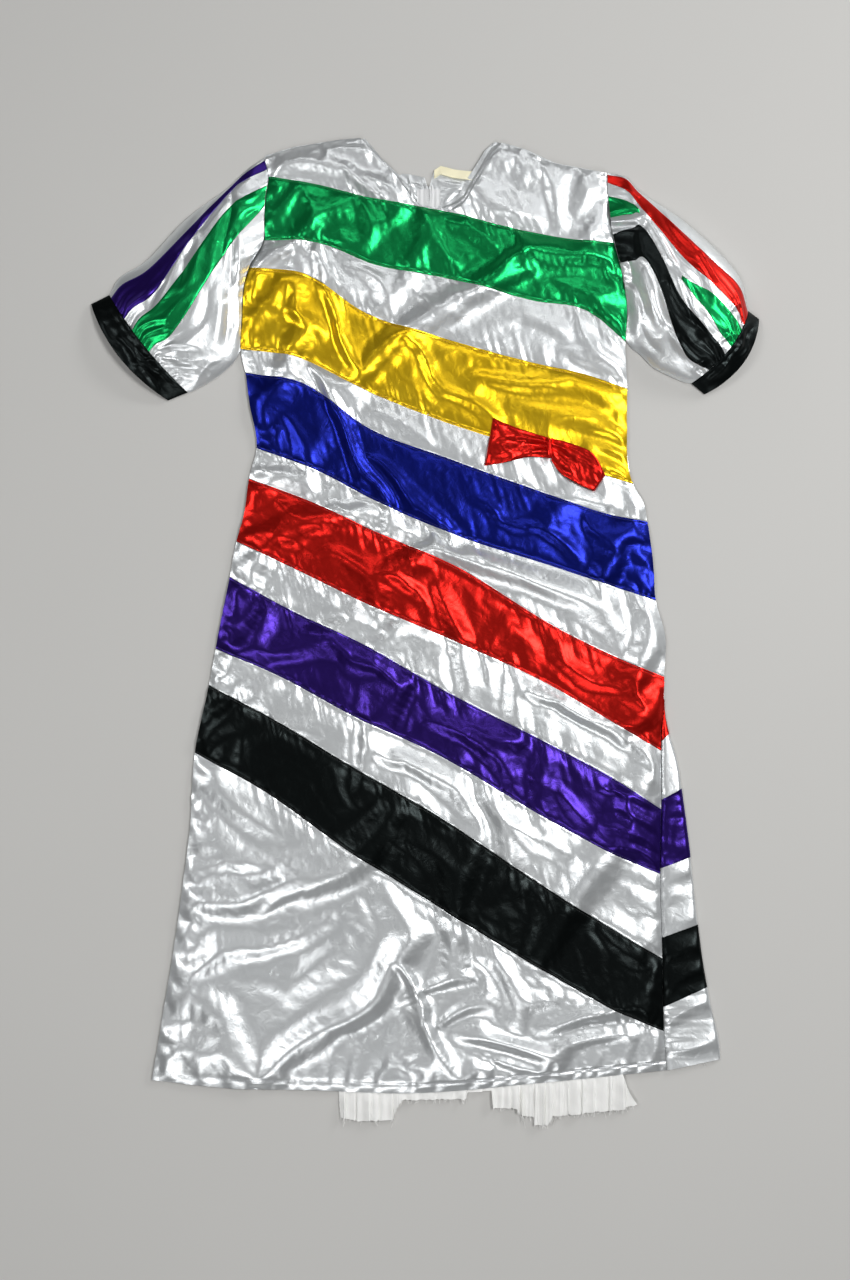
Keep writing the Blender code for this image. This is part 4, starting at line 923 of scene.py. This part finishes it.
CUFFS = {                # X, Y of the mouth's upper end, X, Y of its lower end, bow, height
    "left": (-368.0, 360.6, -283.4, 254.7, 12, 13.0),
    "right": (366.0, 344.1, 306.0, 261.4, 14, 14.0),
}
SLEEVE_EDGE = 1.9                      # height of a tube's two flattened edges
ARMHOLE_GAP = 0.6                      # between the front's side and the sleeve's first section
STRIP_LIFT, STRIP_DIP, STRIP_SINK = 0.90, 0.75, 1.5      # over the sleeve, at edges, under a fold
STRIP_HIDDEN, STRIP_SHOWN = 0.026, 0.034         # fractions across, under a fold and in sight
SLEEVE_FOLDS = {         # as in the front's table; troughs have a height below nothing
    "left": (
        ((232, 192), (228, 232), 2, 5, -3.4), ((228, 232), (224, 282), -2, 6, -3.0),
        ((240, 236), (239, 300), 1, 5, 2.6), ((239, 300), (238, 352), 1, 5, 2.6),
        ((233, 246), (229, 300), 1, 5, -2.4), ((229, 300), (226, 350), 1, 5, -2.6),
        ((212, 200), (204, 218), 1, 4, 2.8), ((204, 218), (184, 253), 3, 5, 2.6),
        ((216, 214), (190, 240), 2, 4, -2.0), ((227, 206), (207, 232), -2, 5, 2.2),
        ((196, 240), (185, 262), 2, 4, -2.2), ((186, 262), (183, 286), 1, 4, -2.2),
        ((176, 268), (166, 292), 1, 5, 2.0), ((168, 284), (152, 310), -2, 4, -2.4),
        ((150, 290), (126, 312), 3, 6, 1.6), ((200, 262), (180, 300), 3, 8, 2.2),
        ((190, 300), (166, 330), -3, 7, 2.0), ((210, 300), (196, 340), 3, 7, -1.6),
        ((205, 330), (176, 350), 3, 6, 1.8), ((158, 352), (200, 349), 3, 3, 1.6),
        ((163, 359), (214, 361), -3, 3, 1.6), ((168, 366), (212, 372), 3, 3, 1.6),
        ((176, 376), (204, 377), 2, 3, 1.4), ((142, 330), (168, 322), 2, 3, 1.3),
        ((148, 338), (176, 330), 2, 3, 1.3), ((128, 312), (152, 296), 2, 3, 1.2),
        ((218, 362), (196, 386), -4, 4, 1.8), ((250, 180), (236, 186), 3, 5, 2.2),
        ((258, 196), (238, 204), 2, 4, 1.8), ((256, 212), (244, 226), -2, 4, -1.6),
    ),
    "right": (
        ((608, 221), (644, 218), -4, 4, 3.6), ((613, 230), (642, 230), 2, 3, -3.0),
        ((644, 219), (671, 266), 3, 5, 3.6), ((671, 266), (690, 304), 2, 5, 3.4),
        ((690, 304), (704, 337), 2, 5, 3.0), ((704, 337), (725, 354), -3, 5, 2.6),
        ((650, 224), (680, 280), 2, 4, -3.4), ((680, 280), (700, 318), 2, 4, -2.6),
        ((637, 233), (645, 262), -3, 4, 2.4), ((645, 262), (657, 284), 2, 5, 2.2),
        ((657, 284), (684, 341), -5, 5, 2.4), ((684, 341), (711, 359), -3, 4, 2.2),
        ((666, 290), (692, 330), -4, 4, -2.0), ((652, 300), (672, 336), -4, 4, -1.8),
        ((627, 262), (632, 284), 1, 4, -2.2), ((632, 284), (642, 318), 3, 5, -2.2),
        ((642, 276), (666, 332), -5, 5, 2.4), ((666, 332), (700, 368), -4, 5, 2.4),
        ((627, 340), (652, 366), -4, 5, 2.2), ((652, 366), (690, 382), -3, 4, 2.0),
        ((640, 330), (664, 358), -4, 5, -1.8), ((616, 190), (640, 200), 3, 4, 2.2),
        ((611, 196), (634, 209), 2, 3, -1.8), ((607, 215), (637, 211), 2, 3, 2.0),
        ((664, 214), (700, 256), -4, 4, 2.2), ((700, 256), (728, 300), -3, 4, 2.0),
        ((663, 241), (699, 284), -3, 4, -2.0), ((655, 202), (690, 232), 3, 5, 1.8),
        ((692, 264), (712, 306), 3, 4, 2.0), ((700, 284), (732, 320), -3, 4, 2.0),
        ((697, 311), (722, 334), -3, 3, 2.4), ((686, 306), (708, 334), -3, 3, 2.0),
        ((704, 292), (736, 322), -3, 4, -1.8), ((716, 346), (734, 338), 2, 3, 1.4),
        ((726, 316), (740, 306), 2, 3, 1.3), ((692, 372), (706, 362), 2, 3, 1.4),
    ),
}


def sleeve_values(side, s):
    """Values of a sleeve's table at fractions from armhole to cuff."""
    rows = np.array(SLEEVES[side], float)
    places = np.linspace(0, 1, len(rows))
    return np.stack([soft_curve(places, rows[:, c], s) for c in range(rows.shape[1])], axis=-1)


def bowed(upper, lower, bow, f, toward):
    """Points between two ends of a section, which bows out towards the cuff."""
    chord = lower - upper
    out = np.stack([-chord[..., 1], chord[..., 0]], axis=-1)
    out /= np.linalg.norm(chord, axis=-1, keepdims=True)
    out *= np.sign(out[..., :1] * toward)
    swing = (bow * 4 * f * (1 - f))[..., None]
    return upper + f[..., None] * chord + out * swing


def sleeve_surface(side, s, f, lift=0.0):
    """Points of the top of a sleeve at grids of fractions along it and across it."""
    outline, tip, underarm, toward = ARMHOLES[side]
    values = sleeve_values(side, s)
    place = bowed(values[..., 0:2], values[..., 2:4], values[..., 4], f, toward)
    first = np.array(SLEEVES[side][0], float)
    seam_y = tip + f * (underarm - tip)
    seam = np.stack([table_curve(outline, seam_y) + toward * ARMHOLE_GAP, seam_y], axis=-1)
    keep = (1 - soft_step(s, 0, 0.3))[..., None]
    place = place + keep * (seam - (first[0:2] + f[..., None] * (first[2:4] - first[0:2])))
    dome = np.clip(4 * f * (1 - f), 0, 1) ** SLEEVE_DOME
    z = SLEEVE_EDGE + (values[..., 5] - SLEEVE_EDGE) * dome
    relief = fold_lift(place[..., 0], place[..., 1], SLEEVE_FOLDS[side])
    gather = np.cos(f * 68 + 2.0 * np.sin(f * 9)) + 0.7 * np.cos(f * 104 + 1.7)
    relief += 0.8 * gather * np.exp(-(1 - s) / 0.16)
    relief += 0.5 * np.cos(f * 80 + 2.4 * np.sin(f * 11)) * np.exp(-s / 0.12)
    return np.dstack([place, z + relief * np.clip(dome * 1.6 - 0.1, 0, 1) + lift])


sections, over, under = 130, 150, 40   # sections of mesh, points over the top and underneath
f_top = (1 - np.cos(np.linspace(0, math.pi, over))) / 2
f_low = (1 + np.cos(np.linspace(0, math.pi, under))) / 2
for side in ("left", "right"):
    s, f = np.meshgrid(np.linspace(0, 1, sections), f_top, indexing="ij")
    top = sleeve_surface(side, s, f)
    s, f = np.meshgrid(np.linspace(0, 1, sections), f_low, indexing="ij")
    low = sleeve_surface(side, s, f)
    low[..., 2] = SLEEVE_EDGE - UNDER_DROP * np.clip(4 * f * (1 - f), 0, 1) ** UNDER_DOME
    tube = cloth_piece("sleeve_" + side + "_satin", np.concatenate([top, low[:, 1:]], axis=1),
                       white_satin, flip=side == "right")
    close_tube(tube)
    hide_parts("sleeve_" + side)
    for k, (colour, width) in enumerate(SLEEVE_STRIPS[side]):
        along = np.linspace(0, 1, sections)
        edges = sleeve_values(side, along)[:, 6 + 2 * k:8 + 2 * k]
        v = np.linspace(0, 1, 40)
        f = edges[:, :1] + v * (edges[:, 1:] - edges[:, :1])
        s = np.repeat(along[:, None], len(v), axis=1)
        lift = STRIP_LIFT - STRIP_DIP * np.exp(-np.minimum(v, 1 - v) / 0.03)
        under_fold = 1 - soft_step(edges[:, 1:] - edges[:, :1], STRIP_HIDDEN, STRIP_SHOWN)
        strip = sleeve_surface(side, s, f, lift - STRIP_SINK * under_fold)
        ribbon = cloth_piece("sleeve_%s_%s_strip" % (side, colour), strip, dyed[colour],
                             flip=side == "right")
        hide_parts("sleeve_%s_%s" % (side, colour))

# Each cuff is a straight doubled band of black satin, sewn to the gathered end of the sleeve.
CUFF_STEPS = 22
CUFF_LINING = [(1.0, 0.6), (0.97, 1.2), (0.8, 1.3), (0.55, 1.4)]     # place and depth inside
CUFF_FOLDS = {           # as in the front's table
    "left": (((113, 308), (142, 342), 3, 5, 2.6), ((104, 322), (120, 345), -2, 4, -2.0),
             ((122, 340), (140, 366), 3, 4, 2.0), ((138, 350), (152, 362), -2, 3, -2.4),
             ((148, 362), (160, 366), 2, 3, 2.6), ((140, 366), (158, 388), 3, 4, -2.0),
             ((155, 372), (175, 392), 2, 5, 2.2), ((95, 306), (108, 312), 1, 3, 2.0),
             ((160, 384), (172, 398), -2, 3, 1.8)),
    "right": (((754, 314), (746, 326), 2, 3, 2.2), ((750, 330), (741, 346), -2, 3, -2.0),
              ((742, 338), (732, 356), 2, 4, 2.2), ((732, 352), (724, 366), -2, 3, -2.0),
              ((727, 360), (712, 378), 3, 4, 2.4), ((716, 376), (704, 390), -2, 3, 2.0),
              ((747, 345), (738, 360), 2, 3, 1.8)),
}
for side in ("left", "right"):
    toward = ARMHOLES[side][3]
    upper_x, upper_y, lower_x, lower_y, bow, height = CUFFS[side]
    ring_f = np.concatenate([f_top, f_low[1:]])
    is_top = np.arange(len(ring_f)) < over
    start = sleeve_surface(side, np.ones((1, len(ring_f))), ring_f[None])[0]
    full = float(sleeve_values(side, 1.0)[5])
    mouth = bowed(np.array((upper_x, upper_y)), np.array((lower_x, lower_y)), bow, ring_f, toward)
    dome = np.clip(4 * ring_f * (1 - ring_f), 0, 1)
    rows = []
    outside = [(t, 0.0) for t in np.linspace(0.01, 1, CUFF_STEPS)]
    for t, inset in outside + CUFF_LINING:
        place = start[:, :2] + t * (mouth - start[:, :2])
        tall = full + t * (height - full) + 1.3 * math.exp(-t / 0.5) * (t > 0.03)
        z_top = SLEEVE_EDGE + (tall - SLEEVE_EDGE - inset) * dome ** SLEEVE_DOME
        relief = fold_lift(place[:, 0], place[:, 1], CUFF_FOLDS[side])
        relief += 0.3 * np.cos(ring_f * 64 + 3 * t) * (1 - 0.8 * t)
        z_top += relief * np.clip(dome * 1.5 - 0.2, 0, 1) * (inset == 0)
        z_low = SLEEVE_EDGE - (UNDER_DROP - 0.5 * inset) * dome ** UNDER_DOME
        z = np.where(is_top, np.maximum(z_top, 2.0), z_low)
        rows.append(np.column_stack([place, z]))
    cuff = cloth_piece("cuff_" + side + "_satin", rows, dyed["black"], flip=side == "right")
    close_tube(cuff)
    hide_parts("cuff_" + side)

# A petticoat of white cotton is sewn inside. Its torn lower edge is gathered into a frill that
# hangs out under the hem in three uneven pieces, with loose threads along the tear.
RUFFLE_EDGE = (          # X at the tuck, X and Y at the edge
    (-96, -96, -508), (-95, -94.6, -533), (-75, -75, -537), (-36, -36, -536),
    (-30, -27, -514), (8, 8, -513.5), (45, 45.9, -512.7), (48, 48, -500),
    (70, 72, -500), (74, 73.7, -523), (101, 101, -523), (104, 104, -532), (116, 116, -532),
    (121, 121, -541.4), (134, 134, -541.4), (137, 137, -532), (152, 152, -531),
    (176, 183, -527.5), (194, 213, -524.8), (205, 231, -518.7),
)
PLEATS = (-96, -88, -78, -73, -60, -55, -43, -36, -24, -6, 12, 31, 46, 62, 75, 86, 92, 103,
          107, 118, 122, 131, 138, 152, 157, 169, 175, 186, 199, 205, 219, 231)  # X of gathers
THREAD_LINK, THREAD_WIDTH = 1.6, 0.3
LOOSE_THREADS = (        # place in the photograph, heading in degrees, number of links
    ((523, 1118), -80, 7), ((541, 1121), -65, 6), ((556, 1114), -100, 8), ((603, 1108), -75, 7),
    ((345, 1115), -110, 5), ((388, 1110), -60, 6), ((701, 1057), -62, 7), ((629, 1098), -50, 5),
)
RUFFLE_TUCK, RUFFLE_WAVE = 22.0, 6.0   # how far it goes in under the hem; height of its waves
RUFFLE_COLUMNS, RUFFLE_ROWS = 420, 26
FRAY_COUNT = 190                       # threads tried along the tear
cotton = make_plain("white_cotton_lawn", "#FDFDFB", "#F4F4F1", 0.9, 0.85, 0.5)
edge = np.array(RUFFLE_EDGE, float)
marks = np.arange(len(edge))
spread = np.linspace(0, len(edge) - 1, RUFFLE_COLUMNS)
tuck, edge_x, edge_y = (np.interp(spread, marks, edge[:, c]) for c in range(3))
ragged = np.random.default_rng(11).normal(0, 0.35, len(spread))
hem_y = hem_height(edge_x)
edge_y = np.minimum(edge_y + ragged, hem_y - 3)
rows = []
for part in np.linspace(1, 0, RUFFLE_ROWS):
    y = hem_y + RUFFLE_TUCK + part * (edge_y - hem_y - RUFFLE_TUCK)
    x = tuck + part * (edge_x - tuck)
    pleat = np.interp(x, PLEATS, np.arange(len(PLEATS)))
    phase = pleat % 1
    tall = 0.55 + 0.45 * np.sin(np.floor(pleat) * 2.4 + 1) ** 2
    wave = np.minimum(phase / 0.72, (1 - phase) / 0.10).clip(0, 1) ** 0.7 * tall * RUFFLE_WAVE
    x = x + part * 1.6 * np.sin(pleat * math.pi * 1.3)
    free = soft_step(hem_y - y, -4, 12)
    fine = 0.25 * np.sin(x * 1.9 + 2 * np.sin(x / 5)) + 0.2 * np.sin(y / 3 + x / 6)
    rows.append(np.column_stack([x, y, 1.9 * (1 - free) + free * (wave + 0.5 + fine)]))
ruffle_rows = np.array(rows)
ruffle = cloth_piece("petticoat_frill", ruffle_rows, cotton)
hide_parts("petticoat_ruffle")

fray = bmesh.new()
rng = np.random.default_rng(5)
for k in range(FRAY_COUNT):
    pick = int(rng.integers(4, len(spread) - 4))
    if edge_y[pick] > -511:
        continue
    x, y, z = ruffle_rows[0][pick]
    length = rng.uniform(1.5, 5.5) * (1 + (rng.random() > 0.93))
    turn = Matrix.Rotation(rng.normal(0, 0.35), 4, "Z")
    place = Matrix.Translation((x - CENTRE[0], y - CENTRE[1] - length * 0.4, max(z, 0.4)))
    size = Matrix.Diagonal((THREAD_WIDTH, length, THREAD_WIDTH, 1.0))
    bmesh.ops.create_cube(fray, size=1.0, matrix=place @ turn @ size)
for start, ahead, links in LOOSE_THREADS:
    here = np.array((*cloth_spot(start) - CENTRE, 1.2))
    heading = math.radians(ahead)
    size = Matrix.Diagonal((THREAD_LINK + 0.1, THREAD_WIDTH, THREAD_WIDTH, 1.0))
    for k in range(links):
        step = np.array((math.cos(heading), math.sin(heading), 0.0)) * THREAD_LINK
        turn = Matrix.Rotation(heading, 4, "Z")
        place = Matrix.Translation(here + step / 2)
        bmesh.ops.create_cube(fray, size=1.0, matrix=place @ turn @ size)
        here = here + step
        heading += 0.12 * math.sin(k * 1.3 + start[0])
keep_bits(fray, "frill_fray", cotton)

# The bow at the waist is a doubled strip of red satin, folded into two loops, pinched in the
# middle under a narrow knot, and sewn to the front across the edge of the yellow band.
BOW_SIDES = {            # points of the upper and the lower side, from the knot to the end
    "left": (((135.5, 213.0), (114.0, 219.5), (94.0, 226.0), (73.0, 235.0)),
             ((135.5, 191.5), (112.0, 192.0), (88.0, 186.5), (64.3, 182.6))),
    "right": (((137.5, 213.0), (159.0, 207.0), (182.0, 196.0), (196.5, 172.0)),
              ((137.5, 188.5), (146.0, 176.0), (162.0, 165.0), (184.5, 154.4))),
}
LOOP_GAP, LOOP_SWELL, LOOP_FALL = 2.2, 3.8, 1.2  # gap at the knot, gain further out, loss at sides
BOW_LIFT = 1.2                         # how far the under layer lies over the front
LOOP_STEPS, LOOP_COLUMNS = 60, 44      # mesh along each layer of a loop, and across it
KNOT_BOX = (131.6, 138.2, 190.0, 212.5)           # low and high X, low and high Y
KNOT_MIDDLE, KNOT_HEIGHT = np.array([[135.0], [201.0]]), 8.2      # X and Y of the middle
BOW_FOLDS = (
    ((492, 426), (512, 430), 1, 4, 1.2), ((490, 441), (518, 438), 2, 4, 1.3),
    ((512, 430), (546, 440), -3, 4, 1.8), ((488, 456), (516, 448), -2, 4, 1.4),
    ((518, 446), (546, 441), 3, 3, 1.4), ((506, 462), (536, 452), 2, 4, 1.6),
    ((524, 452), (545, 448), 1, 3, -1.4), ((556, 440), (592, 466), -3, 4, 1.8),
    ((556, 446), (584, 474), 3, 4, 1.6), ((554, 452), (572, 478), 3, 4, 1.4),
    ((566, 446), (596, 462), -2, 3, -1.4), ((590, 466), (603, 480), 2, 3, 1.6),
)


def bow_base(x, y):
    """Z of what the bow lies on."""
    return front_height(x, y) + BOW_LIFT


for side, (upper, lower) in BOW_SIDES.items():
    upper, lower = np.array(upper, float), np.array(lower, float)
    marks = np.linspace(0, 1, len(upper))
    t = np.concatenate([np.linspace(0, 1, LOOP_STEPS), np.linspace(1, 0, LOOP_STEPS)[1:]])
    over = np.concatenate([np.zeros(LOOP_STEPS), np.ones(LOOP_STEPS - 1)])
    v = np.linspace(0, 1, LOOP_COLUMNS)
    one = np.stack([soft_curve(marks, upper[:, c], t) for c in (0, 1)], axis=-1)[:, None]
    other = np.stack([soft_curve(marks, lower[:, c], t) for c in (0, 1)], axis=-1)[:, None]
    place = one + v[None, :, None] * (other - one)
    x, y = place[..., 0], place[..., 1]
    t, over = t[:, None], over[:, None]
    base = bow_base(x, y)
    swell = soft_step(t, 0, 0.75) * np.sqrt(1 - t**6)
    pleat = (1 - t) * 1.5 * np.cos(v * 6 * math.pi + 1.5 * np.sin(v * 5))
    relief = fold_lift(x, y, BOW_FOLDS) * 0.9 + pleat
    fall = np.clip(np.minimum(v, 1 - v) / 0.08, 0, 1) ** 0.5
    z = base + over * (LOOP_GAP + LOOP_SWELL * swell - LOOP_FALL * (1 - fall))
    z += over * relief * fall * soft_step(1 - t, 0, 0.08)
    z = np.where(t == 1.0, base + 1.6, z)
    rows = np.dstack([place, z])
    loop = cloth_piece("bow_loop_" + side, rows, dyed["red"], flip=side == "right")
    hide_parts("bow_" + side)

low_x, high_x, low_y, high_y = KNOT_BOX
knot_base = float(bow_base(*KNOT_MIDDLE)[0])
knot_y = np.linspace(low_y + 0.6, high_y - 0.6, 60)
girth = np.linspace(0, 2 * math.pi, 49)
rows = []
for y in knot_y:
    end = abs(2 * (y - low_y) / (high_y - low_y) - 1)
    waist = 1 - 0.12 * (1 - end**2)
    rise = KNOT_HEIGHT / 2 * math.sqrt(max(1 - end**5, 0.02))
    x = (low_x + high_x) / 2 + np.cos(girth) * (high_x - low_x) / 2 * waist
    ridge = 0.35 * np.cos(x * 3.4 + 0.25 * y)
    z = knot_base + KNOT_HEIGHT / 2 + (rise + ridge * (np.sin(girth) > 0)) * np.sin(girth)
    rows.append(np.column_stack([x, np.full(len(x), y), z]))
knot = cloth_piece("bow_knot_satin", rows, dyed["red"], flip=True)
close_tube(knot)
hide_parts("bow_knot")

# Sewing shows as a line of small stitches just inside each edge of a band, along the neckline and in
# two rows round the turned-up hem. The thread is polyester, coloured much darker than the cloth
# round it, so that each stitched line also carries painted shade.
STITCH_PITCH, STITCH_SIZE = 3.0, (2.1, 0.45, 0.35)
BAND_THREAD, WHITE_THREAD = 0.42, 0.12           # heights of the stitches over the front


def sew(name, lines, material):
    """One piece of small stitches along lines of points in the tables' millimetres."""
    thread = bmesh.new()
    for line in lines:
        step = np.linalg.norm(np.diff(line, axis=0), axis=1)
        run = np.concatenate([[0], np.cumsum(step)])
        stops = np.arange(STITCH_PITCH, run[-1] - STITCH_PITCH, STITCH_PITCH)
        middle = np.stack([np.interp(stops, run, line[:, c]) for c in range(3)], axis=1)
        ahead = np.stack([np.interp(stops + 1, run, line[:, c]) for c in range(3)], axis=1)
        for here, there in zip(middle, ahead):
            turn = Vector(there - here).to_track_quat("X", "Z").to_matrix().to_4x4()
            place = Matrix.Translation((here[0] - CENTRE[0], here[1] - CENTRE[1], here[2]))
            size = Matrix.Diagonal((*STITCH_SIZE, 1.0))
            bmesh.ops.create_cube(thread, size=1.0, matrix=place @ turn @ size)
    keep_bits(thread, name, material)


def front_line(line, part, inset, lift):
    """Points over the front along one of its slanting lines."""
    x, y = front_places(across, line, part)
    y = y + inset
    z = front_height(x, y) + lift
    return np.stack([x, y, z], axis=1)


edge_parts = (STITCH_INSET / BAND_DEPTH, 1 - STITCH_INSET / BAND_DEPTH)
# Thread colours: deep tones of the band dyes, darkened as painted shade of the stitched lines.
SHADED_THREAD_DYES = {"green": "#006B35", "yellow": "#B98600", "blue": "#0A1668", "red": "#9C1408",
               "purple": "#241060", "black": "#050808"}
for name, dye in SHADED_THREAD_DYES.items():
    line = line_names.index(name + "_low")
    thread = make_plain(name + "_stitch_painted_shade", dye, dye, 0.5, 0.5)
    lines = [front_line(line, part, 0.0, BAND_THREAD) for part in edge_parts]
    sew("stitches_" + name, lines, thread)

# The white stitches are grey: painted shade of the stitched lines at the neck and hem.
grey_shaded_thread = make_plain("white_stitch_painted_shade", "#C4C6C9", "#B8BABD", 0.5, 0.5)
neck_x = np.linspace(-66, 81, 90)
neck_y = np.interp(neck_x, *zip(*FRONT_TOP)) - NECK_INSET
neck = np.stack([neck_x, neck_y, front_height(neck_x, neck_y) + WHITE_THREAD], axis=1)
hem_rows = (HEM_INSET - 0.8, HEM_INSET + 0.8)
hems = [front_line(0, 0.0, inset, WHITE_THREAD) for inset in hem_rows]
sew("stitches_white", [neck, *hems], grey_shaded_thread)
